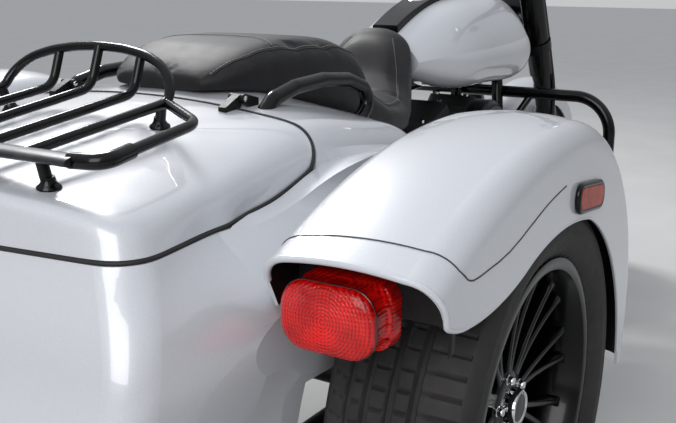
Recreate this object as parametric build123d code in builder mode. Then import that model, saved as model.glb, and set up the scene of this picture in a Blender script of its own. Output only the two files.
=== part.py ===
from build123d import *
import math
import os

os.makedirs("parts", exist_ok=True)

# Overall sizes, in millimetres
WHEELBASE = 1670
REAR_OVERHANG = 681
FENDER_OUTER_Y = 694

# Wheels
REAR_TYRE_R = 325
REAR_TYRE_WIDTH = 215
REAR_RIM_R = 229
REAR_WHEEL_Y = 575
FRONT_TYRE_R = 319
FRONT_TYRE_WIDTH = 130
FRONT_RIM_R = 241
SPINDLE_R = 20
HUB_R = 46
BEAD_INSET = 22
FLANGE = 7
BEAD_GAP = 0.5
SPOKE_START = 9.75
SPOKE_TILT = 8.8
RUNNING_GAP = 0.3

# Steering
RAKE = 28
HEAD_X = 1320
HEAD_Z = 850
FORK_LEG_Y = 117
FORK_TUBE_R = 29
STEM_R = 14
BAR_R = 14
BAR_X = 1288
BAR_Z = 985
LAMP_AXIS_Z = 850
HEADLAMP_R = 84

# Trunk
WALL = 8
SEAM_GAP = 6
SEAM_FRONT_X = -125
SEAM_SIDE_Z = 654
LID_AXIS_X = -112
LID_AXIS_Z = 781
TRUNK_FLOOR_Z = 440
BACKBONE_R = 24

# The rear axle's place, which puts the middle of the whole length at the origin
REAR_AXLE_X = (REAR_OVERHANG - WHEELBASE - FRONT_TYRE_R) / 2


def at(x, y, z):
    """A place measured forward from the rear axle, to the left of the middle, and up from the ground."""
    return (REAR_AXLE_X + x, y, z)


def side(y=0):
    """An upright plane along the vehicle, whose sketch runs forward and up."""
    return Plane(origin=at(0, y, 0), x_dir=(1, 0, 0), z_dir=(0, -1, 0))


def station(x):
    """An upright plane across the vehicle, whose sketch runs left and up."""
    return Plane(origin=at(x, 0, 0), x_dir=(0, 1, 0), z_dir=(1, 0, 0))


def level(z):
    """A level plane, whose sketch runs forward and left."""
    return Plane(origin=at(0, 0, z), x_dir=(1, 0, 0), z_dir=(0, 0, 1))


def tube(points, bend, radius, mode=Mode.ADD):
    """Adds a bent tube along points to the part being built, or cuts it away."""
    corners = [at(*point) for point in points]
    with BuildLine() as route:
        if len(corners) == 2:
            Line(*corners)
        else:
            FilletPolyline(*corners, radius=bend)
    with BuildSketch(Plane(origin=route.line @ 0, z_dir=route.line % 0)) as section:
        Circle(radius)
    sweep(section.sketch, path=route.line, mode=mode)


def rod(start, end, radius, mode=Mode.ADD):
    """Adds a straight round bar between two places, or cuts it away."""
    tube([start, end], 0, radius, mode)


def finish(builder, name):
    """Names a finished piece and writes it."""
    builder.part.label = name
    export_step(builder.part, f"parts/{name}.step")


# Wheels
def tyre(rim_r, tyre_r, width, centre):
    """A tyre's section of crown, shoulders and bulged sidewalls, turned round the axle."""
    half = width / 2
    bead = half - BEAD_INSET
    foot = rim_r + 0.3
    with BuildPart() as ring:
        with BuildSketch(Plane(origin=centre, x_dir=(0, 1, 0), z_dir=(1, 0, 0))):
            with BuildLine():
                crown = ThreePointArc((-half + 14, tyre_r - 17), (0, tyre_r), (half - 14, tyre_r - 17))
                ThreePointArc(crown @ 1, (half, (rim_r + tyre_r) / 2 + 6), (bead, rim_r + 14))
                Polyline((bead, rim_r + 14), (bead, foot), (-bead, foot), (-bead, rim_r + 14))
                ThreePointArc((-bead, rim_r + 14), (-half, (rim_r + tyre_r) / 2 + 6), crown @ 0)
            make_face()
        revolve(axis=Axis(centre, (0, 1, 0)))
    return ring


def rim(rim_r, tyre_width, face_y, hub_ends, spokes, centre, outer=1):
    """A cast wheel: barrel with two flanges, hub with the spindle's bore, and pairs of split spokes."""
    half = tyre_width / 2 - BEAD_INSET + FLANGE + BEAD_GAP
    with BuildPart() as wheel:
        with BuildSketch(Plane(origin=centre, x_dir=(0, outer, 0), z_dir=(outer, 0, 0))):
            with BuildLine():
                Polyline(
                    (-half, rim_r - 8), (-half, rim_r + 11), (-half + FLANGE, rim_r + 11), (-half + FLANGE, rim_r),
                    (half - FLANGE, rim_r), (half - FLANGE, rim_r + 11), (half, rim_r + 11), (half, rim_r - 10),
                    (half - 26, rim_r - 22), (-half + 30, rim_r - 14), close=True)
            make_face()
        revolve(axis=Axis(centre, (0, 1, 0)))
        hub_end = (centre[0], centre[1] + outer * hub_ends[1], centre[2])
        with BuildSketch(Plane(origin=hub_end, x_dir=(1, 0, 0), z_dir=(0, -outer, 0))):
            Circle(HUB_R)
        extrude(amount=hub_ends[1] - hub_ends[0])
        face = Plane(origin=(centre[0], centre[1] + outer * face_y, centre[2]), x_dir=(1, 0, 0), z_dir=(0, -outer, 0))
        with BuildSketch(face):
            with PolarLocations(0, spokes, start_angle=outer * SPOKE_START):
                with Locations(Location((rim_r / 2 + 17, 15.5, 0), (0, 0, SPOKE_TILT)),
                               Location((rim_r / 2 + 17, -15.5, 0), (0, 0, -SPOKE_TILT))):
                    Rectangle(rim_r - 51, 12)
        extrude(amount=28)
        with BuildSketch(Plane(origin=centre, x_dir=(1, 0, 0), z_dir=(0, -1, 0))):
            Circle(SPINDLE_R + RUNNING_GAP)
        extrude(amount=2 * half, both=True, mode=Mode.SUBTRACT)
    return wheel


REAR_FACE_Y = 54
REAR_DISC_Y = 512
REAR_DISC_R = 146
for name, mirror_side in (("left", 1), ("right", -1)):
    wheel_centre = at(0, mirror_side * REAR_WHEEL_Y, REAR_TYRE_R)
    finish(tyre(REAR_RIM_R, REAR_TYRE_R, REAR_TYRE_WIDTH, wheel_centre), f"rear_tyre_{name}")
    with BuildPart() as rear_rim:
        add(rim(REAR_RIM_R, REAR_TYRE_WIDTH, REAR_FACE_Y, (-72, 43), 10, wheel_centre, mirror_side).part)
        with BuildSketch(Plane(origin=at(0, mirror_side * REAR_DISC_Y, REAR_TYRE_R), x_dir=(1, 0, 0), z_dir=(0, -1, 0))):
            Circle(REAR_DISC_R)
            Circle(HUB_R - 2, mode=Mode.SUBTRACT)
        extrude(amount=3, both=True)
    finish(rear_rim, f"rear_rim_{name}")

FRONT_AXLE = at(WHEELBASE, 0, FRONT_TYRE_R)
finish(tyre(FRONT_RIM_R, FRONT_TYRE_R, FRONT_TYRE_WIDTH, FRONT_AXLE), "front_tyre")
FRONT_DISC_Y = 66
FRONT_DISC_R = 150
finish(rim(FRONT_RIM_R, FRONT_TYRE_WIDTH, 12, (-FRONT_DISC_Y + 2.8, FRONT_DISC_Y - 2.8), 10, FRONT_AXLE), "front_rim")
with BuildPart() as front_disc:
    for s in (1, -1):
        with BuildSketch(side(s * FRONT_DISC_Y)):
            with Locations((WHEELBASE, FRONT_TYRE_R)):
                Circle(FRONT_DISC_R)
                Circle(SPINDLE_R + RUNNING_GAP, mode=Mode.SUBTRACT)
        extrude(amount=2.5, both=True)
finish(front_disc, "front_disc")

# Trunk hull: stations along it, with the places of its crease, lid seam, hip and foot
WING_Y = 453.7
HULL_FOOT_Z = 270
SKIRT_Z = 290
WELL_FRONT_X = -335
HULL_STATIONS = (
    # x, top z, crease y, crease z, crease size, seam y, seam z, hip y, hip z, foot y
    (-690, 706, 378, 684, 22, 400, 640, 434, 560, 392),
    (-640, 712, 376, 688, 22, 396, 645, 438, 558, 398),
    (-541, 724, 368, 694, 22, 386, 652, 444, 556, 402),
    (-430, 738, 356, 700, 24, 367, 656, 456, 556, 404),
    (-305, 755, 340, 714, 30, 345, 658, 459, 610, 450),
    (-208, 767, 336, 732, 38, 338, 667, 460, 660, 460),
    (-125, 775, 338, 746, 44, 342, 690, 460, 695, 460),
    (-38, 783, 338, 744, 44, 350, 696, 460, 718, 460),
    (120, 760, 330, 722, 40, 348, 690, 460, 712, 460),
    (240, 726, 322, 690, 36, 345, 660, 460, 672, 460),
    (330, 640, 310, 606, 30, 340, 580, 460, 600, 460),
)
PLAN_LEVELS = (
    # z, rear x, shoulder x, shoulder y, corner x, corner y, side y
    (800, -586, -578, 196, -545, 370, 350),
    (700, -589, -582, 198, -549, 374, 352),
    (650, -593, -587, 198, -563, 388, 358),
    (596, -620, -612, 206, -588, 408, 420),
    (510, -647, -639, 212, -616, 428, 460),
    (423, -657, -649, 216, -627, 416, 446),
    (345, -656, -648, 215, -626, 404, 434),
    (270, -652, -644, 214, -622, 386, 416),
)
CORNER_R = 52
SIDE_X = -380


def mirrored(points):
    """The same places on the other side of the middle, in the opposite order."""
    return [(-y, z) for y, z in reversed(points)]


def rear_form(inset):
    """The rounded rear of the trunk as seen from above, level by level, drawn in by inset."""
    with BuildPart() as form:
        for z, rear_x, shoulder_x, shoulder_y, corner_x, corner_y, side_y in PLAN_LEVELS:
            near = [(shoulder_x + inset, shoulder_y), (corner_x + inset, corner_y - inset), (SIDE_X, side_y - inset)]
            far = [(x, -y) for x, y in reversed(near)]
            with BuildSketch(level(z)):
                with BuildLine():
                    ThreePointArc(far[2], (rear_x + inset, 0), near[0])
                    FilletPolyline(*near, radius=CORNER_R - inset)
                    Polyline(near[2], (400, 480), (400, -480), far[0])
                    FilletPolyline(*far, radius=CORNER_R - inset)
                make_face()
        loft()
    return form.part


def hull(inset):
    """The trunk's closed outer form, drawn in on every side by inset."""
    with BuildPart() as form:
        for x, top_z, crease_y, crease_z, size, seam_y, seam_z, hip_y, hip_z, foot_y in HULL_STATIONS:
            inner = (crease_y - size - inset / 2, crease_z + size / 6 - inset)
            crease = (crease_y - size / 4 - inset * 0.7, crease_z - size / 5 - inset * 0.7)
            outer = (crease_y + 2 - inset, crease_z - 0.8 * size - inset / 2)
            seam = (seam_y - inset, seam_z - inset / 2)
            hip = (hip_y - inset, hip_z - inset / 2)
            above_hip = (hip[0] + 0.4 * (seam[0] - hip[0]), hip[1] + 0.4 * (seam[1] - hip[1]))
            below_hip = (hip[0], hip[1] - 60)
            on_hip = ((above_hip[0] + 2 * hip[0] + below_hip[0]) / 4, (above_hip[1] + 2 * hip[1] + below_hip[1]) / 4)
            foot = (foot_y - inset, HULL_FOOT_Z)
            with BuildSketch(station(x)):
                with BuildLine():
                    ThreePointArc((-inner[0], inner[1]), (0, top_z - inset), inner)
                    ThreePointArc(inner, crease, outer)
                    Polyline(outer, seam, above_hip)
                    ThreePointArc(above_hip, on_hip, below_hip)
                    Polyline(below_hip, foot, *mirrored([below_hip, foot]))
                    ThreePointArc(*mirrored([above_hip, on_hip, below_hip]))
                    Polyline(*mirrored([outer, seam, above_hip]))
                    ThreePointArc(*mirrored([inner, crease, outer]))
                make_face()
        loft()
        with BuildSketch(side()):
            with BuildLine():
                shoulder = ThreePointArc((-600, 668), (-588, 703), (-552, 730))
                Polyline(shoulder @ 1, (-400, 900), (330, 900), (330, TRUNK_FLOOR_Z),
                         (WELL_FRONT_X + 20, TRUNK_FLOOR_Z), (WELL_FRONT_X, SKIRT_Z), (-700, SKIRT_Z), (-700, 668),
                         shoulder @ 0)
            make_face()
            if inset:
                offset(amount=-inset)
        extrude(amount=WING_Y - inset, both=True, mode=Mode.INTERSECT)
        add(rear_form(inset), mode=Mode.INTERSECT)
    return form.part


LID_PLAN = ((-900, 450), (-541, 392), (-430, 372), (-305, 346), (-208, 340), (-125, 340))


def lid_zone(grow):
    """The block of space that the lid takes, grown by the seam's gap for the opening it closes."""
    front = SEAM_FRONT_X + grow
    foot = SEAM_SIDE_Z - grow
    with BuildPart() as zone:
        with BuildSketch(side()):
            with BuildLine():
                FilletPolyline((-900, foot), (front, foot), (front, 900), radius=70)
                Polyline((front, 900), (-900, 900), (-900, foot))
            make_face()
        extrude(amount=600, both=True)
        with BuildSketch(level(0)):
            with BuildLine():
                edge = [(x, y + grow) for x, y in LID_PLAN] + [(front + 50, LID_PLAN[-1][1] + grow)]
                Polyline(*edge, *[(x, -y) for x, y in reversed(edge)], close=True)
            make_face()
        extrude(amount=1000, mode=Mode.INTERSECT)
    return zone.part


outer_hull = hull(0)
seat_hull = hull(-RUNNING_GAP)
inner_hull = hull(WALL)
HINGE_Y = 188
HINGE_PIN_R = 4
HINGE_EYE_R = 7
HINGE_HALF = 7
HINGE_EAR = 3
with BuildPart() as trunk_lid:
    add(outer_hull)
    add(lid_zone(0), mode=Mode.INTERSECT)
    add(inner_hull, mode=Mode.SUBTRACT)
    for s in (1, -1):
        with BuildSketch(side(s * HINGE_Y)):
            with Locations((LID_AXIS_X, LID_AXIS_Z)):
                Circle(HINGE_EYE_R)
            with BuildLine():
                Polyline((LID_AXIS_X, LID_AXIS_Z + 6), (LID_AXIS_X - 40, LID_AXIS_Z - 11),
                         (LID_AXIS_X - 40, LID_AXIS_Z - 25), (LID_AXIS_X - 18, LID_AXIS_Z - 20),
                         (LID_AXIS_X, LID_AXIS_Z - 5), close=True)
            make_face()
            with Locations((LID_AXIS_X, LID_AXIS_Z)):
                Circle(HINGE_PIN_R + RUNNING_GAP, mode=Mode.SUBTRACT)
        extrude(amount=HINGE_HALF, both=True)
finish(trunk_lid, "trunk_lid")

with BuildPart() as trunk_body:
    add(outer_hull)
    add(lid_zone(SEAM_GAP), mode=Mode.SUBTRACT)
    add(inner_hull, mode=Mode.SUBTRACT)
    # Hinge ears each side of the lid's eye, and the pin through them
    for s in (1, -1):
        for ear in (HINGE_HALF + HINGE_EAR + 1, -HINGE_HALF - HINGE_EAR - 1):
            with BuildSketch(side(s * HINGE_Y + ear)):
                with BuildLine():
                    Polyline((LID_AXIS_X - 2, LID_AXIS_Z + 6), (LID_AXIS_X + 34, LID_AXIS_Z - 2),
                             (LID_AXIS_X + 34, LID_AXIS_Z - 20), (LID_AXIS_X - 5, LID_AXIS_Z - 5), close=True)
                make_face()
                with Locations((LID_AXIS_X, LID_AXIS_Z)):
                    Circle(HINGE_EYE_R)
            extrude(amount=HINGE_EAR, both=True)
        with BuildSketch(side(s * HINGE_Y)):
            with Locations((LID_AXIS_X, LID_AXIS_Z)):
                Circle(HINGE_PIN_R)
        extrude(amount=HINGE_HALF + 2 * HINGE_EAR, both=True)
finish(trunk_body, "trunk_body")

SEAL_DEPTH = 8
with BuildPart() as trunk_seal:
    add(hull(WALL + 0.3))
    add(hull(WALL + SEAL_DEPTH), mode=Mode.SUBTRACT)
    add(lid_zone(SEAM_GAP + 10), mode=Mode.INTERSECT)
    add(lid_zone(1), mode=Mode.SUBTRACT)
finish(trunk_seal, "trunk_seal")

# Rear fenders: the crown line in side view, and the section that runs along it
CROWN_TOP = (50, 772)
CROWN_REAR_R = 1043
CROWN_FRONT_R = 360
FENDER_REAR_X = -430
FENDER_FOOT_Z = 290
FENDER_WALL = 5
FENDER_INNER_Y = 454
FENDER_SKIRT = 205
FENDER_INNER_SKIRT = 95


def fender_form(inset):
    """The fender's section of skirt, rolled edge and crown, carried along the crown line."""
    back_angle = math.degrees(math.asin((CROWN_TOP[0] - FENDER_REAR_X) / CROWN_REAR_R))
    knee = (CROWN_TOP[0] + CROWN_FRONT_R, CROWN_TOP[1] - CROWN_FRONT_R)
    inner = FENDER_INNER_Y + inset
    outer = FENDER_OUTER_Y - inset
    drop = 20 if inset else 0
    with BuildPart() as form:
        with BuildLine(side()) as crown:
            CenterArc((CROWN_TOP[0], CROWN_TOP[1] - CROWN_REAR_R), CROWN_REAR_R, 90 + back_angle, -back_angle)
            CenterArc((CROWN_TOP[0], knee[1]), CROWN_FRONT_R, 90, -90)
            Line(knee, (knee[0], FENDER_FOOT_Z))
        with BuildSketch(Plane(origin=crown.line @ 0, x_dir=(0, 1, 0), z_dir=crown.line % 0)):
            with BuildLine():
                ThreePointArc((inner, -50), (inner + 12, -23), (inner + 36, -9 - inset))
                ThreePointArc((inner + 36, -9 - inset), (585, -inset), (outer - 40, -7 - inset))
                ThreePointArc((outer - 40, -7 - inset), (outer - 9, -22 - inset), (outer, -50 - inset))
                Polyline((outer, -50 - inset), (outer, -FENDER_SKIRT - drop), (outer - 20, -FENDER_SKIRT - drop),
                         (outer - 20, -FENDER_INNER_SKIRT - drop), (inner, -FENDER_INNER_SKIRT - drop), (inner, -50))
            make_face()
        sweep(path=crown.line)
    return form.part


with BuildPart() as rear_fender:
    add(fender_form(0))
    add(fender_form(FENDER_WALL), mode=Mode.SUBTRACT)
    with BuildSketch(side(FENDER_OUTER_Y + 20)):
        with BuildLine():
            lobe = ThreePointArc((-440, 634), (-405, 594), (-346, 576))
            rise = ThreePointArc(lobe @ 1, (-250, 577), (-150, 600))
            brow = ThreePointArc(rise @ 1, (-20, 622), (110, 610))
            ThreePointArc(brow @ 1, (262, 500), (337, 315))
            Polyline((337, 315), (345, 200), (-700, 200), (-700, 634), lobe @ 0)
        make_face()
    extrude(amount=100, mode=Mode.SUBTRACT)
finish(rear_fender, "rear_fender_left")
with BuildPart() as rear_fender_right:
    add(mirror(rear_fender.part, about=Plane.XZ))
finish(rear_fender_right, "rear_fender_right")

# Tail lamps, their brackets and the side markers
LAMP_Y = 541
LAMP_Z = 574
LAMP_FACE_X = -412
LAMP_SIZE = (132, 88)
LAMP_DEPTH = 70
for name, s in (("left", 1), ("right", -1)):
    with BuildPart() as tail_lamp:
        with BuildSketch(station(LAMP_FACE_X)):
            with Locations((s * LAMP_Y, LAMP_Z)):
                RectangleRounded(*LAMP_SIZE, radius=22)
        extrude(amount=LAMP_DEPTH)
        fillet(tail_lamp.faces().sort_by(Axis.X)[0].edges(), radius=9)
    finish(tail_lamp, f"tail_lamp_{name}")
with BuildPart() as lamp_bracket:
    with BuildSketch(station(LAMP_FACE_X + LAMP_DEPTH + RUNNING_GAP)):
        with Locations((LAMP_Y + 12, LAMP_Z + 30)):
            RectangleRounded(240, 160, radius=20)
    extrude(amount=10)
    add(fender_form(FENDER_WALL + RUNNING_GAP), mode=Mode.INTERSECT)
with BuildPart() as lamp_brackets:
    add(lamp_bracket.part)
    add(mirror(lamp_bracket.part, about=Plane.XZ))
finish(lamp_brackets, "lamp_brackets")
with BuildPart() as side_markers:
    for s in (1, -1):
        marker = Plane(origin=at(84, s * (FENDER_OUTER_Y + RUNNING_GAP), 651), x_dir=(1, 0, -0.1), z_dir=(0, s, 0))
        with BuildSketch(marker):
            RectangleRounded(112, 32, radius=13)
        extrude(amount=8)
finish(side_markers, "side_markers")

# Grab rails beside the pillion
GRAB_R = 13
GRAB_LINE = ((-108, 742), (-62, 777), (0, 791), (85, 796), (165, 790), (222, 772), (246, 744), (222, 720), (140, 680))
with BuildPart() as grab_rails:
    for s in (1, -1):
        tube([(x, s * 220, z) for x, z in GRAB_LINE], 24, GRAB_R)
    add(seat_hull, mode=Mode.SUBTRACT)
finish(grab_rails, "grab_rails")

# Luggage rack
RACK_R = 7.5
RACK_REAR_X = -522
RACK_REAR_Z = 753
RACK_OUTER_Y = 176
RACK_BARS = (
    # y, bend x, bend z, top z
    (-88, -238, 793, 852),
    (0, -240, 796, 862),
    (88, -238, 793, 852),
)
BLADE_Y = 272
with BuildPart() as rack_blade:
    with BuildSketch(side(BLADE_Y)):
        with Locations((RACK_REAR_X - 4, RACK_REAR_Z)):
            Ellipse(21, 7.5)
    extrude(amount=2 * BLADE_Y)
finish(rack_blade, "rack_blade")
with BuildPart() as luggage_rack:
    arch = [(RACK_REAR_X, RACK_OUTER_Y, RACK_REAR_Z), (-262, RACK_OUTER_Y, 788), (-232, 134, 843), (-214, 0, 866)]
    tube(arch + [(x, -y, z) for x, y, z in reversed(arch[:-1])], 38, RACK_R)
    for y, bend_x, bend_z, top_z in RACK_BARS:
        tube([(RACK_REAR_X, y, RACK_REAR_Z), (bend_x, y, bend_z), (-216, y, top_z)], 18, RACK_R)
    for s in (1, -1):
        tube([(-262, s * RACK_OUTER_Y, 788), (-325, s * 284, 775), (-506, s * 308, 757)], 20, RACK_R)
        tube([(-486, s * 306, 759), (-524, s * 311, 755), (-528, s * (BLADE_Y - 6), 754)], 22, RACK_R + 3)
        rod((-262, s * 160, 730), (-270, s * 170, 786), 8)
        rod((-524, s * 224, 690), (-530, s * 214, 752), 8)
    add(seat_hull, mode=Mode.SUBTRACT)
    add(rack_blade.part, mode=Mode.SUBTRACT)
finish(luggage_rack, "luggage_rack")

# Seat
PILLION_SECTIONS = (
    # x, half width, foot z, top z
    (-92, 104, 776, 804),
    (-50, 134, 776, 832),
    (20, 150, 768, 850),
    (110, 160, 752, 857),
    (240, 172, 716, 850),
    (331, 176, 650, 812),
)
RIDER_SECTIONS = (
    (331 + RUNNING_GAP, 176, 652, 810),
    (430, 184, 640, 722),
    (520, 172, 640, 716),
    (580, 140, 652, 770),
    (640, 104, 745, 866),
    (676 - RUNNING_GAP, 70, 800, 858),
)


def cushion(sections):
    """A pad lofted through sections of flat foot, upright sides and crowned top."""
    with BuildPart() as pad:
        for x, half, foot_z, top_z in sections:
            with BuildSketch(station(x)):
                shoulder_z = foot_z + (top_z - foot_z) * 0.45
                with BuildLine():
                    ThreePointArc((-half, shoulder_z), (0, top_z), (half, shoulder_z))
                    Polyline((half, shoulder_z), (half, foot_z), (-half, foot_z), (-half, shoulder_z))
                make_face()
        loft()
        add(seat_hull, mode=Mode.SUBTRACT)
    return pad


finish(cushion(PILLION_SECTIONS), "pillion_seat")
finish(cushion(RIDER_SECTIONS), "rider_seat")

# Fuel tank
TANK_SECTIONS = (
    # x, half width, foot z, waist z, top z
    (676, 104, 744, 780, 838),
    (780, 134, 720, 790, 884),
    (960, 158, 704, 800, 930),
    (1120, 168, 704, 812, 946),
    (1212, 160, 712, 826, 934),
    (1248, 122, 744, 836, 892),
)
with BuildPart() as fuel_tank:
    for x, half, foot_z, waist_z, top_z in TANK_SECTIONS:
        with BuildSketch(station(x)):
            with BuildLine():
                ThreePointArc((-half, waist_z), (0, top_z), (half, waist_z))
                ThreePointArc((half, waist_z), (half * 0.9, foot_z + 14), (half * 0.62, foot_z))
                Line((half * 0.62, foot_z), (-half * 0.62, foot_z))
                ThreePointArc((-half * 0.62, foot_z), (-half * 0.9, foot_z + 14), (-half, waist_z))
            make_face()
    loft()
    with BuildSketch(side()):
        with BuildLine():
            Polyline((640, 690), (770, 752), (1200, 778), (1290, 860), (1290, 600), (640, 600), close=True)
        make_face()
    extrude(amount=BACKBONE_R + 8, both=True, mode=Mode.SUBTRACT)
finish(fuel_tank, "fuel_tank")
with BuildPart() as tank_console:
    for x, half, foot_z, top_z in ((700, 34, 830, 862), (800, 36, 872, 903), (960, 42, 905, 942), (1100, 46, 920, 958)):
        with BuildSketch(station(x)):
            with Locations((0, (foot_z + top_z) / 2)):
                RectangleRounded(2 * half, top_z - foot_z, radius=4)
    loft()
    add(fuel_tank.part, mode=Mode.SUBTRACT)
finish(tank_console, "tank_console")

# Frame
TUBE_R = 16
CROSS_R = 13
HEAD_TUBE_R = 30
AXIS_BACK = (-math.sin(math.radians(RAKE)), 0, math.cos(math.radians(RAKE)))


def on_axis(along, forward=0, y=0):
    """A place along the steering axis from the head's middle, forward of it and aside of it."""
    return (HEAD_X + along * AXIS_BACK[0] + forward * AXIS_BACK[2], y, HEAD_Z + along * AXIS_BACK[2] - forward * AXIS_BACK[0])


HEAD_HALF = 85
RAIL_Z = TRUNK_FLOOR_Z - TUBE_R - RUNNING_GAP
PIVOT_HALF = 137.7

RAIL_END_X = WELL_FRONT_X + 20


def cradle(s):
    """The corners of one side's tube, from the steering head under the engine to the trunk's rear."""
    return [on_axis(-44), (1262, s * 60, 688), (1222, s * 105, 250), (1160, s * 120, 205), (620, s * 120, 205),
            (560, s * 120, 260), (560, s * 120, 520), (440, s * 120, 590), (364, s * 120, RAIL_Z),
            (RAIL_END_X, s * 120, RAIL_Z)]


CRADLE_BEND = 22
with BuildPart() as frame:
    rod(on_axis(-HEAD_HALF), on_axis(HEAD_HALF), HEAD_TUBE_R)
    tube([on_axis(-10), (1200, 0, 742), (780, 0, 716), (570, 0, 580), (560, 0, 330)], 40, BACKBONE_R)
    for s in (1, -1):
        tube(cradle(s), CRADLE_BEND, TUBE_R)
    for x, tunnel_z in ((850, 755.9), (1120, 772.3)):
        rod((x, 0, tunnel_z - 30), (x, 0, tunnel_z), 10)
    rod((560, -PIVOT_HALF, 330), (560, PIVOT_HALF, 330), BACKBONE_R)
    rod((560, -120, 500), (560, 120, 500), CROSS_R)
    rod((RAIL_END_X + 60, -120, RAIL_Z), (RAIL_END_X + 60, 120, RAIL_Z), CROSS_R)
    rod((700, -120, 205), (700, 120, 205), CROSS_R)
    rod((1100, -120, 205), (1100, 120, 205), CROSS_R)
    with BuildSketch(Plane(origin=at(*on_axis(0)), z_dir=AXIS_BACK)):
        Circle(STEM_R + RUNNING_GAP)
    extrude(amount=HEAD_HALF + 20, both=True, mode=Mode.SUBTRACT)
finish(frame, "frame")

# Engine: a crankcase and gearbox with two finned cylinders in a narrow vee
CRANK = (985, 330)
VEE = 22.5
DECK = 128
HEAD_BASE = 250
HEAD_TOP = 304
COVER_TOP = 340
CASE_HALF = 75
PULLEY = (680, 330)
PULLEY_R = 50
BELT_Y = 76
BELT_HALF = 13


def cylinder_plane(lean, along, aside=0, inward=0):
    """A plane square to a leaning cylinder's axis, along it from the crank."""
    tilt = math.radians(lean)
    toward = -inward if lean > 0 else inward
    x = CRANK[0] + along * math.sin(tilt) + toward * math.cos(tilt)
    z = CRANK[1] + along * math.cos(tilt) - toward * math.sin(tilt)
    return Plane(origin=at(x, aside, z), x_dir=(0, 1, 0), z_dir=(math.sin(tilt), 0, math.cos(tilt)))


with BuildPart() as engine_crankcase:
    with BuildSketch(side()):
        with Locations(CRANK):
            Circle(122)
        with BuildLine():
            Polyline((620, 250), (900, 232), (900, 425), (640, 430), close=True)
        make_face()
    extrude(amount=CASE_HALF - 17, both=True)
    with BuildSketch(side()):
        with Locations(CRANK):
            Circle(118)
    extrude(amount=CASE_HALF + 20, both=True)
    for lean in (VEE, -VEE):
        with BuildSketch(cylinder_plane(lean, 60)):
            RectangleRounded(130, 102, radius=20)
            with Locations((-84, 0)):
                RectangleRounded(30, 90, radius=10)
        extrude(amount=DECK - 60)
    with BuildSketch(side(BELT_Y + BELT_HALF)):
        with Locations(PULLEY):
            Circle(PULLEY_R)
    extrude(amount=2 * BELT_HALF + 10)
    for lean in (VEE, -VEE):
        with BuildSketch(cylinder_plane(lean, DECK)):
            Rectangle(200, 140)
        extrude(amount=HEAD_BASE - DECK, mode=Mode.SUBTRACT)
finish(engine_crankcase, "engine_crankcase")

FIN_COUNT = 9
for name, lean in (("front_cylinder", VEE), ("rear_cylinder", -VEE)):
    with BuildPart() as cylinder:
        with BuildSketch(cylinder_plane(lean, DECK)):
            Circle(54)
        extrude(amount=HEAD_BASE - DECK)
        for fin in range(FIN_COUNT):
            with BuildSketch(cylinder_plane(lean, DECK + 8 + fin * 14)):
                RectangleRounded(140, 138, radius=34)
            extrude(amount=4)
        with BuildSketch(cylinder_plane(lean, HEAD_BASE)):
            with Locations((-8, 0)):
                RectangleRounded(176, 140, radius=18)
        extrude(amount=HEAD_TOP - HEAD_BASE)
        with BuildSketch(cylinder_plane(lean, HEAD_TOP)):
            with Locations((-8, 0)):
                RectangleRounded(156, 120, radius=28)
        extrude(amount=COVER_TOP - HEAD_TOP, taper=12)
        away = -1 if lean > 0 else 1
        with BuildSketch(level(CRANK[1] + 60)):
            with Locations((CRANK[0] + away * 98.5, 0)):
                Rectangle(200, 300)
        extrude(amount=200, mode=Mode.SUBTRACT)
    finish(cylinder, name)
with BuildPart() as pushrod_tubes:
    for lean in (VEE, -VEE):
        for inward in (8, 30):
            with BuildSketch(cylinder_plane(lean, DECK + RUNNING_GAP, -84, inward)):
                Circle(9)
            extrude(amount=HEAD_BASE - DECK - 2 * RUNNING_GAP)
finish(pushrod_tubes, "pushrod_tubes")

with BuildPart() as air_cleaner:
    with BuildSketch(side(-118)):
        with Locations((CRANK[0], 582)):
            Circle(86)
    extrude(amount=52)
    fillet(air_cleaner.faces().sort_by(Axis.Y)[0].edges(), radius=16)
    with BuildSketch(side(-94)):
        with Locations((CRANK[0], 600)):
            Rectangle(66, 56)
    extrude(amount=26)
    rod((CRANK[0], -24, 600), (CRANK[0], -96, 600), 22)
    rod((CRANK[0] - 31, -45, 600), (CRANK[0] + 31, -45, 600), 12)
finish(air_cleaner, "air_cleaner")

with BuildPart() as primary_cover:
    with BuildSketch(side(158)):
        with Locations(((PULLEY[0] + CRANK[0]) / 2 + 22, CRANK[1])):
            SlotCenterToCenter(CRANK[0] - PULLEY[0] - 44, 204)
    extrude(amount=158 - CASE_HALF - 20 - RUNNING_GAP)
    fillet(primary_cover.faces().sort_by(Axis.Y)[-1].edges(), radius=18)
finish(primary_cover, "primary_cover")

with BuildPart() as exhaust:
    tube([(1161.7, -44, 572.9), (1196, -44, 558.6), (1192, -150, 470), (1170, -176, 400), (1090, -190, 334),
          (700, -204, 300), (420, -250, 240), (280, -330, 215)], 16, 22)
    tube([(808.3, -44, 572.9), (774, -44, 558.6), (772, -140, 490), (762, -190, 420), (750, -203, 304)], 16, 22)
    tube([(420, -250, 240), (360, -120, 200), (330, 120, 196), (280, 330, 215)], 40, 20)
    for s in (1, -1):
        rod((290, s * 330, 215), (240, s * 330, 215), 30)
        rod((250, s * 330, 215), (-480, s * 330, 215), 46)
finish(exhaust, "exhaust")

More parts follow.
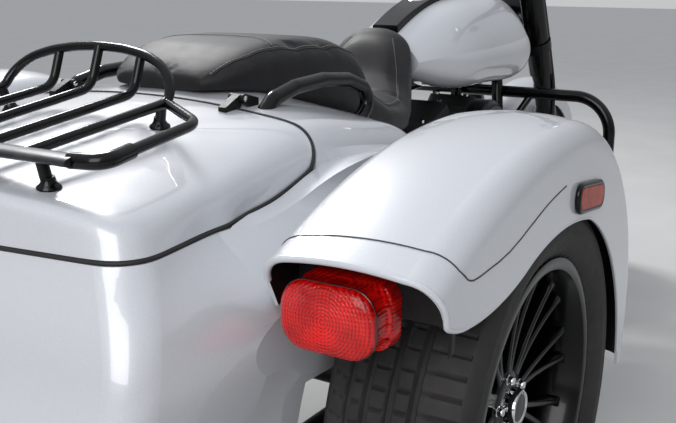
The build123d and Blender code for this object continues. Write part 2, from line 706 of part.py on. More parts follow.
# Rear axle, swingarm and belt
AXLE_R = 38
ARM_Y = PIVOT_HALF + RUNNING_GAP
with BuildPart() as rear_axle:
    rod((0, -440, REAR_TYRE_R), (0, 440, REAR_TYRE_R), AXLE_R)
    rod((0, -58, REAR_TYRE_R), (0, BELT_Y - BELT_HALF, REAR_TYRE_R), 88)
    rod((0, BELT_Y - BELT_HALF, REAR_TYRE_R), (0, BELT_Y + BELT_HALF, REAR_TYRE_R), 95)
    for s in (1, -1):
        rod((0, s * 438, REAR_TYRE_R), (0, s * 470, REAR_TYRE_R), 68)
        rod((0, s * 468, REAR_TYRE_R), (0, s * (REAR_WHEEL_Y + 40), REAR_TYRE_R), SPINDLE_R)
finish(rear_axle, "rear_axle")
with BuildPart() as swingarm:
    for s in (1, -1):
        with BuildSketch(side(s * (ARM_Y + 14))):
            with BuildLine():
                Polyline((0, 385), (-52, 350), (-52, 300), (0, 268), (590, 300), (590, 360), close=True)
            make_face()
            with Locations((0, REAR_TYRE_R)):
                Circle(AXLE_R + RUNNING_GAP, mode=Mode.SUBTRACT)
        extrude(amount=14, both=True)
    rod((300, -ARM_Y, 326), (300, ARM_Y, 326), 22)
finish(swingarm, "swingarm")
with BuildPart() as drive_belt:
    with BuildSketch(side(BELT_Y)):
        with Locations(PULLEY):
            Circle(PULLEY_R + 7)
        with Locations((0, REAR_TYRE_R)):
            Circle(95 + 7)
        make_hull()
    extrude(amount=BELT_HALF - 1, both=True)
    with BuildSketch(side(BELT_Y)):
        with Locations(PULLEY):
            Circle(PULLEY_R + RUNNING_GAP)
        with Locations((0, REAR_TYRE_R)):
            Circle(95 + RUNNING_GAP)
        make_hull()
    extrude(amount=BELT_HALF + 5, both=True, mode=Mode.SUBTRACT)
finish(drive_belt, "drive_belt")
with BuildPart() as rear_shocks:
    for s in (1, -1):
        rod((-45, s * 205, 356), (-280, s * 205, RAIL_Z - 4), 14)
        rod((-75, s * 205, 365), (-235, s * 205, 407), 26)
        rod((-280, s * (120 + TUBE_R + RUNNING_GAP), RAIL_Z - 4), (-280, s * 225, RAIL_Z - 4), 12)
finish(rear_shocks, "rear_shocks")
with BuildPart() as rear_calipers:
    for s in (1, -1):
        with BuildSketch(side(s * 478)):
            with Locations((-118, REAR_TYRE_R)):
                RectangleRounded(150, 60, radius=14)
            with Locations((0, REAR_TYRE_R)):
                Circle(60)
                Circle(SPINDLE_R + RUNNING_GAP, mode=Mode.SUBTRACT)
        extrude(amount=s * 7.7)
        with BuildSketch(side(s * 538)):
            with Locations((-146, REAR_TYRE_R)):
                RectangleRounded(70, 96, radius=14)
        extrude(amount=s * 60)
        with BuildSketch(side(s * REAR_DISC_Y)):
            with Locations((0, REAR_TYRE_R)):
                Circle(REAR_DISC_R + 8)
        extrude(amount=8, both=True, mode=Mode.SUBTRACT)
finish(rear_calipers, "rear_calipers")

# Covers, boards, guard and plate holder
with BuildPart() as side_covers:
    for s in (1, -1):
        with BuildSketch(side(s * 164)):
            with BuildLine():
                FilletPolyline((420, 440), (640, 452), (650, 620), (440, 632), radius=24, close=True)
            make_face()
        extrude(amount=s * 12)
        rod((560, s * 136.2, 500), (560, s * 154, 500), 10)
finish(side_covers, "side_covers")
with BuildPart() as footboards:
    for s in (1, -1):
        with BuildSketch(level(294)):
            with Locations((1040, s * 285)):
                RectangleRounded(300, 116, radius=30)
        extrude(amount=14)
        for x in (960, 1110):
            tube([(x, s * 136.2, 203), (x, s * 236, 203), (x, s * 262, 300)], 16, 11)
finish(footboards, "footboards")
GUARD_R = 16
GUARD_X = 1292
GUARD_Y = 384
GUARD_TOP_Z = 657
with BuildPart() as engine_guard:
    tube([(1232, -104, 330), (GUARD_X, -GUARD_Y, 330), (GUARD_X, -GUARD_Y, GUARD_TOP_Z), (GUARD_X, GUARD_Y, GUARD_TOP_Z),
          (GUARD_X, GUARD_Y, 330), (1232, 104, 330)], 100, GUARD_R)
    for s in (1, -1):
        rod((1248, s * 78, 516), (GUARD_X, s * 150, GUARD_TOP_Z - 10), 10)
        rod(cradle(s)[1], cradle(s)[2], TUBE_R + RUNNING_GAP, Mode.SUBTRACT)
finish(engine_guard, "engine_guard")
with BuildPart() as plate_holder:
    with BuildSketch(station(-REAR_OVERHANG)):
        with Locations((0, 425)):
            RectangleRounded(190, 112, radius=8)
            with GridLocations(146, 70, 2, 2):
                Circle(3.2, mode=Mode.SUBTRACT)
    extrude(amount=5)
    with BuildSketch(station(-REAR_OVERHANG + 5)):
        with Locations((0, 420)):
            RectangleRounded(90, 36, radius=6)
    extrude(amount=40)
    add(seat_hull, mode=Mode.SUBTRACT)
finish(plate_holder, "plate_holder")

# Steering: stem, clamps and fork legs on the raked axis
AXLE_ALONG = -(WHEELBASE - HEAD_X) * math.sin(math.radians(RAKE)) + (FRONT_TYRE_R - HEAD_Z) * math.cos(math.radians(RAKE))
FORK_OFFSET = (WHEELBASE - HEAD_X) * math.cos(math.radians(RAKE)) + (FRONT_TYRE_R - HEAD_Z) * math.sin(math.radians(RAKE))
CLAMP_ALONG = HEAD_HALF + 4


def steering_plane(along):
    """A plane square to the steering axis, whose sketch runs left and forward."""
    return Plane(origin=at(*on_axis(along)), x_dir=(0, -1, 0), z_dir=AXIS_BACK)


with BuildPart() as fork:
    rod(on_axis(-CLAMP_ALONG - 10), on_axis(CLAMP_ALONG + 10), STEM_R)
    for along, thick in ((-CLAMP_ALONG - 28, 28), (CLAMP_ALONG, 22)):
        with BuildSketch(steering_plane(along)):
            Circle(34)
            with Locations((-FORK_LEG_Y, FORK_OFFSET), (FORK_LEG_Y, FORK_OFFSET)):
                Circle(40)
            make_hull()
        extrude(amount=thick)
    for s in (1, -1):
        rod(on_axis(AXLE_ALONG - 34, FORK_OFFSET, s * FORK_LEG_Y), on_axis(CLAMP_ALONG + 30, FORK_OFFSET, s * FORK_LEG_Y),
            FORK_TUBE_R)
        rod(on_axis(-CLAMP_ALONG - 110, FORK_OFFSET, s * FORK_LEG_Y), on_axis(CLAMP_ALONG, FORK_OFFSET, s * FORK_LEG_Y), 35)
    rod((WHEELBASE, -FORK_LEG_Y - 34, FRONT_TYRE_R), (WHEELBASE, FORK_LEG_Y + 34, FRONT_TYRE_R), SPINDLE_R)
    for s in (1, -1):
        rod((BAR_X, s * 50, 940), (BAR_X, s * 50, BAR_Z - BAR_R - RUNNING_GAP), 15)
    tube([(1438, 0, 800), (1462, 0, 742), (1520, 0, 738)], 18, 12)
    rod((1515, 0, 738), (1515, 0, LAMP_AXIS_Z - HEADLAMP_R - RUNNING_GAP), 12)
finish(fork, "fork")
with BuildPart() as handlebar:
    tube([(1085, -405, 1080), (1200, -325, 1112), (1276, -262, 1100), (BAR_X, -110, BAR_Z), (BAR_X, 110, BAR_Z),
          (1276, 262, 1100), (1200, 325, 1112), (1085, 405, 1080)], 36, BAR_R)
finish(handlebar, "handlebar")
with BuildPart() as hand_controls:
    for s in (1, -1):
        near = (1185, s * 335.5, 1108)
        far = (1083, s * 406.5, 1079)
        rod(near, far, 19)
        rod((1197, s * 327, 1111), (1183, s * 337, 1107), 25)
        rod((1190, s * 332, 1112), (1206, s * 372, 1192), 7)
        with BuildSketch(Plane(origin=at(1196, s * 372, 1202), x_dir=(0, 1, 0), z_dir=(1, 0, 0.1))):
            Ellipse(68, 42)
        extrude(amount=22)
        rod((1195, s * 334, 1100), (1112, s * 428, 1068), 6)
        rod((1200, s * 325, 1112), (1070, s * 415.4, 1075.8), BAR_R + RUNNING_GAP, Mode.SUBTRACT)
        rod((1200, s * 325, 1112), (1276, s * 262, 1100), BAR_R + RUNNING_GAP, Mode.SUBTRACT)
finish(hand_controls, "hand_controls")
LENS_DOME = 21
LENS_R = (HEADLAMP_R ** 2 + LENS_DOME ** 2) / (2 * LENS_DOME)
LAMP_BACK_X = 1466
LAMP_RIM_X = 1560
with BuildPart() as headlamp:
    with BuildSketch(side()):
        with BuildLine():
            shell = Polyline((LAMP_BACK_X, LAMP_AXIS_Z), (LAMP_BACK_X, LAMP_AXIS_Z + 34),
                             (LAMP_BACK_X + 26, LAMP_AXIS_Z + HEADLAMP_R), (LAMP_RIM_X, LAMP_AXIS_Z + HEADLAMP_R))
            lens = CenterArc((LAMP_RIM_X + LENS_DOME - LENS_R, LAMP_AXIS_Z), LENS_R, 0,
                             math.degrees(math.asin(HEADLAMP_R / LENS_R)))
            Line(lens @ 0, shell @ 0)
        make_face()
    revolve(axis=Axis(at(LAMP_BACK_X, 0, LAMP_AXIS_Z), (1, 0, 0)))
finish(headlamp, "headlamp")
with BuildPart() as front_fender:
    with BuildLine(side()) as arc:
        CenterArc((WHEELBASE, FRONT_TYRE_R), 346, 38, 166)
    with BuildSketch(Plane(origin=arc.line @ 0, x_dir=(0, -1, 0), z_dir=arc.line % 0)):
        with BuildLine():
            ThreePointArc((-80, -38), (0, 0), (80, -38))
            Polyline((80, -38), (80, -86), (76, -86), (76, -40))
            ThreePointArc((76, -40), (0, -5), (-76, -40))
            Polyline((-76, -40), (-76, -86), (-80, -86), (-80, -38))
        make_face()
    sweep(path=arc.line)
    for s in (1, -1):
        rod(on_axis(AXLE_ALONG + 292, FORK_OFFSET, s * 78), on_axis(AXLE_ALONG + 292, FORK_OFFSET, s * 87.7), 12)
finish(front_fender, "front_fender")
with BuildPart() as front_indicators:
    for s in (1, -1):
        rod((1238, s * 293.5, 1100), (1244, s * 293.5, 1056), 7)
        rod((1200, s * 325, 1112), (1276, s * 262, 1100), BAR_R + RUNNING_GAP, Mode.SUBTRACT)
        rod((1220, s * 293.5, 1042), (1270, s * 293.5, 1042), 26)
finish(front_indicators, "front_indicators")
with BuildPart() as front_calipers:
    for s in (1, -1):
        with BuildSketch(side(s * 84)):
            with Locations((WHEELBASE - 128, FRONT_TYRE_R + 52)):
                RectangleRounded(64, 100, radius=14)
        extrude(amount=s * 30)
        with BuildSketch(side(s * 87.7)):
            with Locations((WHEELBASE - 82, FRONT_TYRE_R + 60)):
                RectangleRounded(140, 36, radius=12)
        extrude(amount=s * 4)
        with BuildSketch(side(s * FRONT_DISC_Y)):
            with Locations((WHEELBASE, FRONT_TYRE_R)):
                Circle(FRONT_DISC_R + 6)
        extrude(amount=7, both=True, mode=Mode.SUBTRACT)
finish(front_calipers, "front_calipers")
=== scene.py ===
import math
import bmesh
import bpy
import numpy as np
from mathutils import Matrix, Vector
from mathutils.bvhtree import BVHTree


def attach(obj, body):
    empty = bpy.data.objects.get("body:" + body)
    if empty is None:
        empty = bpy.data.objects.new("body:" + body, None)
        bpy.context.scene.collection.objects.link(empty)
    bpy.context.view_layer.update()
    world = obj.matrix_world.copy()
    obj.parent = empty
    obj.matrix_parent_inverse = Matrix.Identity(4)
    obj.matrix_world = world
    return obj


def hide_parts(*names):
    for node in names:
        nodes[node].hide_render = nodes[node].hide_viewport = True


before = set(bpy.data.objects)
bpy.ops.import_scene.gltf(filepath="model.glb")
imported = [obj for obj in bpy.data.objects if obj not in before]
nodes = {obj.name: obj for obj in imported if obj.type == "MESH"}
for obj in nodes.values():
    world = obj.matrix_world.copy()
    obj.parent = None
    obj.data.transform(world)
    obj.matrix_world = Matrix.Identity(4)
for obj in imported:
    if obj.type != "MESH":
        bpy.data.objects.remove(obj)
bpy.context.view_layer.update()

# Camera: at the photograph's place behind the right rear corner, a metre off the ground, looking forward
# over the trunk. Its angles and lens were fitted to the vehicle's known sizes.
YAW, PITCH, ROLL = (math.radians(a) for a in (31.66, 13.73, 0.56))
CAMERA_PLACE = (-1.936, -1.096, 0.959)
forward = Vector((math.cos(YAW) * math.cos(PITCH), math.sin(YAW) * math.cos(PITCH), -math.sin(PITCH)))
level_right = Vector((math.sin(YAW), -math.cos(YAW), 0))
level_up = level_right.cross(forward)
right = level_right * math.cos(ROLL) + level_up * math.sin(ROLL)
up = level_up * math.cos(ROLL) - level_right * math.sin(ROLL)
camera_data = bpy.data.cameras.new("camera")
camera_data.sensor_width = 36
camera_data.lens = 49.95
camera_data.clip_start = 0.02
camera = bpy.data.objects.new("camera", camera_data)
camera.matrix_world = Matrix.Translation(CAMERA_PLACE) @ Matrix((right, up, -forward)).transposed().to_4x4()
bpy.context.scene.collection.objects.link(camera)
bpy.context.scene.camera = camera
bpy.context.scene.view_settings.view_transform = "Standard"


# Studio: a plain pale floor under a dome that brightens upward, with a soft key light high in front on the
# left and a large weak fill behind. Paint and black coats show them as broad soft reflections, as under an
# open sky.
def rgb(code):
    """A linear colour from an sRGB hex code: c / 12.92 when dark, or else ((c + 0.055) / 1.055)^2.4."""
    parts = [int(code[i:i + 2], 16) / 255 for i in (1, 3, 5)]
    return tuple(c / 12.92 if c <= 0.04045 else ((c + 0.055) / 1.055) ** 2.4 for c in parts) + (1,)


def add_node(owner, kind, inputs=None, stops=(), **settings):
    """Adds a shader node. Inputs are values or other nodes' outputs; stops are a ramp's (place, colour)."""
    node = owner.node_tree.nodes.new(kind)
    for key, value in settings.items():
        setattr(node, key, value)
    for key, value in (inputs or {}).items():
        if isinstance(value, bpy.types.NodeSocket):
            owner.node_tree.links.new(value, node.inputs[key])
        else:
            node.inputs[key].default_value = value
    for k, (position, code) in enumerate(stops):
        node.color_ramp.elements[k].position = position
        node.color_ramp.elements[k].color = rgb(code)
    return node


def new_material(name, constants):
    """A material with constants on its shader's sockets, its shader, and its object coordinates."""
    material = bpy.data.materials.new(name)
    material.use_nodes = True
    material.node_tree.nodes.clear()
    shader = add_node(material, "ShaderNodeBsdfPrincipled", constants)
    add_node(material, "ShaderNodeOutputMaterial", {"Surface": shader.outputs["BSDF"]})
    return material, shader, add_node(material, "ShaderNodeTexCoord").outputs["Object"]


def patches(material, shader, coords, colours, gloss=None):
    """Colour goes from dark to light as a noise goes from 0.35 to 0.65; roughness = low + (high - low) noise.

    colours are (dark, light, patches per metre), and gloss is (low, high, patches per metre).
    """
    dark, light, scale = colours
    noise = add_node(material, "ShaderNodeTexNoise", {"Vector": coords, "Scale": scale, "Detail": 3.0})
    tone = add_node(material, "ShaderNodeValToRGB", {"Fac": noise.outputs["Fac"]},
                    ((0.35, dark), (0.65, light)))
    material.node_tree.links.new(tone.outputs["Color"], shader.inputs["Base Color"])
    if gloss:
        low, high, scale = gloss
        noise = add_node(material, "ShaderNodeTexNoise", {"Vector": coords, "Scale": scale, "Detail": 4.0})
        spread = add_node(material, "ShaderNodeMapRange",
                          {"Value": noise.outputs["Fac"], "To Min": low, "To Max": high})
        material.node_tree.links.new(spread.outputs["Result"], shader.inputs["Roughness"])


def finish(name, colours, gloss, grain=None, constants=None):
    """A material in patches, bumped by a noise: grain is (cells per metre, detail, strength, metres deep)."""
    material, shader, coords = new_material(name, constants)
    patches(material, shader, coords, colours, gloss)
    if grain:
        scale, detail, strength, depth = grain
        noise = add_node(material, "ShaderNodeTexNoise", {"Vector": coords, "Scale": scale, "Detail": detail})
        raised = add_node(material, "ShaderNodeBump",
                          {"Height": noise.outputs["Fac"], "Strength": strength, "Distance": depth})
        material.node_tree.links.new(raised.outputs["Normal"], shader.inputs["Normal"])
    return material


FLOOR_REACH = 40
floor_mesh = bpy.data.meshes.new("floor")
corners = [(x * FLOOR_REACH, y * FLOOR_REACH, 0) for x, y in ((-1, -1), (1, -1), (1, 1), (-1, 1))]
floor_mesh.from_pydata(corners, [], [(0, 1, 2, 3)])
floor_mesh.materials.append(finish("floor_grey", ("#B9B9B8", "#BEBEBD", 3.0), (0.7, 0.8, 4.0)))
floor = bpy.data.objects.new("floor", floor_mesh)
bpy.context.scene.collection.objects.link(floor)

world = bpy.data.worlds.new("world")
bpy.context.scene.world = world
world.use_nodes = True
world.node_tree.nodes.clear()
sky = add_node(world, "ShaderNodeTexCoord")
height = add_node(world, "ShaderNodeSeparateXYZ", {"Vector": sky.outputs["Generated"]})
tone = add_node(world, "ShaderNodeValToRGB", {"Fac": height.outputs["Z"]},
                ((0.0, "#8F8F8C"), (0.75, "#EEF2F8")))
dome = add_node(world, "ShaderNodeBackground", {"Color": tone.outputs["Color"], "Strength": 0.85})
plain = add_node(world, "ShaderNodeBackground", {"Color": rgb("#C4C5C6"), "Strength": 1.0})
path = add_node(world, "ShaderNodeLightPath")
mix = add_node(world, "ShaderNodeMixShader", {
    "Fac": path.outputs["Is Camera Ray"], 1: dome.outputs["Background"], 2: plain.outputs["Background"]})
add_node(world, "ShaderNodeOutputWorld", {"Surface": mix.outputs["Shader"]})
LIGHTS = (
    # name, place, what it faces, width, watts
    ("key", (1.5, 3.2, 4.2), (-0.6, 0, 0.6), 1.2, 215),
    ("fill", (-4.6, -1.2, 2.6), (-0.6, 0, 0.5), 3.0, 120))
for name, origin, target, size, watts in LIGHTS:
    data = bpy.data.lights.new(name, "AREA")
    data.size = size
    data.energy = watts
    light = bpy.data.objects.new(name, data)
    light.location = origin
    light.rotation_euler = (Vector(target) - Vector(origin)).to_track_quat("-Z", "Y").to_euler()
    bpy.context.scene.collection.objects.link(light)

# Frame and running gear: welded steel tube, swingarm and axle under a thick gloss powder coat, which looks
# deep black with narrow bright edges. The belt is moulded rubber, and a wound spring sits round each steel
# shock.
REAR_AXLE_X = -0.654
PI = math.pi
SIDES = (("left", 1), ("right", -1))


def dress(material, *names):
    """Gives CAD nodes a material in place of their packed one."""
    for name in names:
        nodes[name].data.materials.clear()
        nodes[name].data.materials.append(material)


def place(x, y, z):
    """The frame's metres for millimetres forward, left and up of the rear axle: x / 1000 + REAR_AXLE_X."""
    return (REAR_AXLE_X + x / 1000, y / 1000, z / 1000)


def mesh_piece(name, verts, faces, body, material):
    """A smooth mesh that rides on a body, with normals outward, sharp where faces meet at over 38 degrees."""
    mesh = bpy.data.meshes.new(name)
    mesh.from_pydata(verts, [], faces)
    mesh.validate()
    mesh.materials.append(material)
    work = bmesh.new()
    work.from_mesh(mesh)
    bmesh.ops.recalc_face_normals(work, faces=work.faces)
    work.to_mesh(mesh)
    work.free()
    mesh.shade_smooth()
    mesh.set_sharp_from_angle(angle=math.radians(38))
    piece = bpy.data.objects.new(name, mesh)
    bpy.context.scene.collection.objects.link(piece)
    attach(piece, body)
    return piece


def grid(name, points, body, material, wrap_rows=False, wrap_cols=False, cap_rows=False):
    """A skin over a table of points: a face between each four neighbours, and fans that fill its ends."""
    rows, cols = points.shape[:2]
    verts = points.reshape(-1, 3).tolist()
    faces = []
    for i in range(rows if wrap_rows else rows - 1):
        for j in range(cols if wrap_cols else cols - 1):
            a, b = i * cols, ((i + 1) % rows) * cols
            faces.append((a + j, a + (j + 1) % cols, b + (j + 1) % cols, b + j))
    for row in (0, rows - 1) if cap_rows else ():
        centre = len(verts)
        verts.append(points[row].mean(axis=0).tolist())
        for j in range(cols):
            rim = (row * cols + (j + 1) % cols, row * cols + j, centre)
            faces.append(rim if row == 0 else rim[::-1])
    return mesh_piece(name, verts, faces, body, material)


def swept(path, section, closed=False):
    """A section of (aside, over) points at each place of a path, square to it and carried without twist."""
    path = np.asarray(path, float)
    ahead = np.roll(path, -1, axis=0) - np.roll(path, 1, axis=0)
    if not closed:
        ahead[0], ahead[-1] = path[1] - path[0], path[-1] - path[-2]
    ahead /= np.linalg.norm(ahead, axis=1)[:, None]
    side = np.cross(ahead[0], (0, 0, 1) if abs(ahead[0][2]) < 0.9 else (0, 1, 0))
    rings = []
    section = np.broadcast_to(section, (len(path),) + np.asarray(section).shape[-2:])
    for centre, along, ring in zip(path, ahead, section):
        side = side - along * side.dot(along)
        side /= np.linalg.norm(side)
        rings.append(centre + ring[:, :1] * side + ring[:, 1:] * np.cross(side, along))
    return np.array(rings)


def circle(radius, count=12):
    """A round section: (radius cos t, radius sin t)."""
    t = np.linspace(0, 2 * PI, count, endpoint=False)
    return radius * np.stack([np.cos(t), np.sin(t)], axis=-1)


def wire(name, path, radius, body, material, sides=10, closed=False):
    """A round wire, tube or bead: a circle swept along a path in metres."""
    return grid(name, swept(path, circle(radius, sides), closed), body, material,
                wrap_rows=closed, wrap_cols=True, cap_rows=not closed)


black_gloss = finish("black_gloss", ("#030304", "#060608", 40.0), (0.18, 0.26, 90.0),
                     (220.0, 2.0, 0.08, 0.0005),
                     {"Specular IOR Level": 0.2, "Coat Weight": 0.2, "Coat Roughness": 0.06})
steel = finish("steel", ("#8E8E90", "#A4A4A6", 20.0), (0.25, 0.4, 60.0), None, {"Metallic": 1.0})
soft_rubber = finish("soft_rubber", ("#141414", "#1C1C1C", 50.0), (0.55, 0.7, 60.0))
dress(black_gloss, "frame", "swingarm", "rear_axle")
dress(soft_rubber, "drive_belt")
dress(steel, "rear_shocks")
COIL_RADIUS, COIL_TURNS = 29, 8
t = np.linspace(0, 1, 220)
turn = 2 * PI * COIL_TURNS * t
for side_name, s in SIDES:
    coil = place(-78 - 154 * t - COIL_RADIUS * 0.25 * np.sin(turn), s * 205 + COIL_RADIUS * np.cos(turn),
                 366 + 40 * t + COIL_RADIUS * np.sin(turn))
    wire(f"shock_coil_{side_name}", np.stack(coil, axis=-1), 0.0045, "chassis", black_gloss)


# Engine: a vee twin cast in aluminium under black wrinkle paint. Turned and chromed covers, rings and bolts
# are screwed to it: rocker bolts, inspection cover, cam cover and the air cleaner's ring.
def tube_faces(first, rows, count):
    """Faces of a tube of rings numbered from first on, count points to a ring, and its two filled ends."""
    faces = [(a + j, a + (j + 1) % count, a + count + (j + 1) % count, a + count + j)
             for a in range(first, first + (rows - 1) * count, count) for j in range(count)]
    last = first + (rows - 1) * count
    return faces + [tuple(range(first, first + count)), tuple(range(last, last + count))]


def studs(name, spots, profile, body, material, count=16):
    """Like turned pieces in one mesh: place + along * axis + radius * (side cos t + other side sin t).

    Each spot is (place, axis), and the profile holds (along, radius) pairs, all in millimetres.
    """
    verts, faces = [], []
    along, radius = np.array(profile, float).T[:, :, None, None]
    for centre, axis in spots:
        axis = np.asarray(axis, float) / np.linalg.norm(axis)
        side = np.cross(axis, (0, 0, 1) if abs(axis[2]) < 0.9 else (1, 0, 0))
        side /= np.linalg.norm(side)
        ring = circle(1, count) @ np.array([side, np.cross(axis, side)])
        faces += tube_faces(len(verts), len(profile), count)
        verts += (np.array(place(*centre)) + (along * axis + radius * ring) / 1000).reshape(-1, 3).tolist()
    return mesh_piece(name, verts, faces, body, material)


def turned(name, centre, axis, profile, body, material, count=64):
    """One turned piece: its profile's (along, radius) pairs spun round its axis."""
    return studs(name, [(centre, axis)], profile, body, material, count)


def bolt_circle(x, y, z, radius, angles, hand):
    """Spots at (x + radius cos a, z + radius sin a) on a face that looks left (hand 1) or right (hand -1)."""
    return [((x + radius * math.cos(a), y, z + radius * math.sin(a)), (0, hand, 0)) for a in angles]


def on_cylinder(lean, along, aside, ahead):
    """A place by a cylinder that leans from the crank: along its axis, aside, and ahead square to both."""
    return (ENGINE_X + along * math.sin(lean) + ahead * math.cos(lean), aside,
            ENGINE_Z + along * math.cos(lean) - ahead * math.sin(lean))


engine_black = finish("engine_black", ("#1B1B1C", "#28282A", 25.0), (0.4, 0.6, 80.0),
                      (900.0, 3.0, 0.3, 0.0004), {"Metallic": 0.2})
black_satin = finish("black_satin", ("#0E0E0F", "#151516", 60.0), (0.42, 0.56, 120.0),
                     (700.0, 3.0, 0.2, 0.0004), {"Specular IOR Level": 0.25})
chrome = finish("chrome", ("#D8D8DA", "#E2E2E4", 12.0), (0.04, 0.09, 40.0), None, {"Metallic": 1.0})
dress(engine_black, "engine_crankcase", "front_cylinder", "rear_cylinder")
dress(chrome, "pushrod_tubes")
dress(black_gloss, "air_cleaner", "primary_cover")
ENGINE_X, ENGINE_Z = 985, 330
AIR_CLEANER_Z = 582
LEAN = math.radians(22.5)
ROCKER_HEIGHT = 339
BOLT = ((-2, 6), (4, 6), (5, 5), (5.2, 0.3))
SIX_AROUND = [math.radians(a) for a in range(0, 360, 60)]
for name, lean in (("front", LEAN), ("rear", -LEAN)):
    spots = [(on_cylinder(lean, ROCKER_HEIGHT, y, x), (math.sin(lean), 0, math.cos(lean)))
             for x in (-52, 52) for y in (-52, 36)]
    studs(f"rocker_bolts_{name}", spots, BOLT, "chassis", chrome, 6)
turned("primary_inspection", (ENGINE_X, 158, ENGINE_Z), (0, 1, 0),
       ((-1, 66), (4, 66), (7, 62), (9, 40), (10, 0.3)), "chassis", chrome)
studs("primary_bolts", bolt_circle(ENGINE_X, 163, ENGINE_Z, 56, SIX_AROUND, 1),
      ((0, 4.5), (3, 4.5), (4, 3.6), (4.2, 0.3)), "chassis", steel, 12)
turned("cam_cover", (ENGINE_X, -95, ENGINE_Z), (0, -1, 0),
       ((-2, 110), (3, 110), (7, 105), (9, 88), (9, 74), (12, 70), (14, 40), (14.4, 0.3)),
       "chassis", black_satin)
paired = [a + k for a in SIX_AROUND for k in (0, 0.52)]
studs("cam_cover_bolts", bolt_circle(ENGINE_X, -101.5, ENGINE_Z, 97, paired, -1),
      ((0, 5), (4, 5), (5, 4), (5.2, 0.3)), "chassis", chrome, 12)
turned("air_cleaner_ring", (ENGINE_X, -118, AIR_CLEANER_Z), (0, -1, 0),
       ((-2, 62), (2.5, 62), (4, 59), (4, 50), (2.5, 48), (2.5, 0.3)), "chassis", chrome)
studs("air_cleaner_bolts", bolt_circle(ENGINE_X, -120, AIR_CLEANER_Z, 28, SIX_AROUND[::2], -1),
      BOLT, "chassis", steel, 6)


# Exhaust, side covers, footboards and guard: steel pipe in satin heat paint with chromed tips pressed on,
# and gloss black covers and boards. The covers are bolted on, and the boards carry glued rubber ribs.
def plate(name, outlines, middles, half, body, material):
    """Flat pieces in one mesh: outlines of (forward, up) points, half thick to each side of their middles."""
    verts, faces = [], []
    for outline, y in zip(outlines, middles):
        n = len(outline)
        first = len(verts)
        for edge in (y - half, y + half):
            verts += [place(x, edge, z) for x, z in outline]
        faces += [tuple(range(first, first + n)), tuple(range(first + n, first + 2 * n))]
        faces += [(first + k, first + (k + 1) % n, first + n + (k + 1) % n, first + n + k) for k in range(n)]
    return mesh_piece(name, verts, faces, body, material)


dress(black_satin, "exhaust")
dress(black_gloss, "side_covers", "footboards", "engine_guard")
RIB = ((904, 307.6), (904, 311.5), (1176, 311.5), (1176, 307.6))
for side_name, s in SIDES:
    turned(f"exhaust_tip_{side_name}", (-466, s * 330, 215), (-1, 0, 0),
           ((0, 46.6), (26, 47.2), (29, 46), (29.5, 43), (28, 40), (16, 39), (16, 0.3)), "chassis", chrome)
    turned(f"exhaust_mouth_{side_name}", (-482.2, s * 330, 215), (-1, 0, 0),
           ((-1, 38.8), (0.6, 38.8), (0.8, 0.3)), "chassis", black_satin)
    spots = [((x, s * 175.8, z), (0, s, 0)) for x, z in ((448, 466), (620, 474), (456, 608), (628, 600))]
    studs(f"cover_bolts_{side_name}", spots, BOLT, "chassis", steel, 12)
    plate(f"board_ribs_{side_name}", [RIB] * 5, [s * (285 + 20 * k) for k in range(-2, 3)], 6,
          "chassis", soft_rubber)


# Tyres: vulcanised rubber with straight grooves round the tread, fine cuts across its ribs, and two raised
# rings on the wall. The rubber is dark brown-grey and dull. Each bead seats in its rim.
def arc_through(a, b, c, count):
    """Points along the circle through three places: middle + radius * (cos t, sin t), from a over b to c."""
    (ax, ay), (bx, by), (cx, cy) = a, b, c
    aa, bb, cc = ax ** 2 + ay ** 2, bx ** 2 + by ** 2, cx ** 2 + cy ** 2
    d = 2 * (ax * (by - cy) + bx * (cy - ay) + cx * (ay - by))
    ux = (aa * (by - cy) + bb * (cy - ay) + cc * (ay - by)) / d
    uy = (aa * (cx - bx) + bb * (ax - cx) + cc * (bx - ax)) / d
    start = math.atan2(ay - uy, ax - ux)
    middle = (math.atan2(by - uy, bx - ux) - start + PI) % (2 * PI) - PI
    end = (math.atan2(cy - uy, cx - ux) - start) % (2 * PI)
    if middle < 0:
        end -= 2 * PI
    t = start + np.linspace(0, end, count)
    radius = math.hypot(ax - ux, ay - uy)
    return np.stack([ux + radius * np.cos(t), uy + radius * np.sin(t)], axis=-1)


def tread_depth(y, angle, half, grooves, pitches):
    """The tread's depth: 6.5 mm in a groove with sloped walls, 3.2 mm in slanted cuts, pitches to a turn."""
    depth = np.zeros(np.broadcast(y, angle).shape)
    for middle, width in grooves:
        depth = np.maximum(depth, 6.5 * np.clip((width / 2 + 1.2 - abs(y - middle)) / 1.6, 0, 1))
    slant = np.where(y > grooves[-1][0], 0.12, -0.35) * y / 100
    phase = (angle * pitches / (2 * PI) + slant + 0.25 * (y > 0)) % 1
    cut = np.clip((0.085 - abs(phase - 0.5)) / 0.04, 0, 1) * (abs(y) < half)
    return np.maximum(depth, 3.2 * cut)


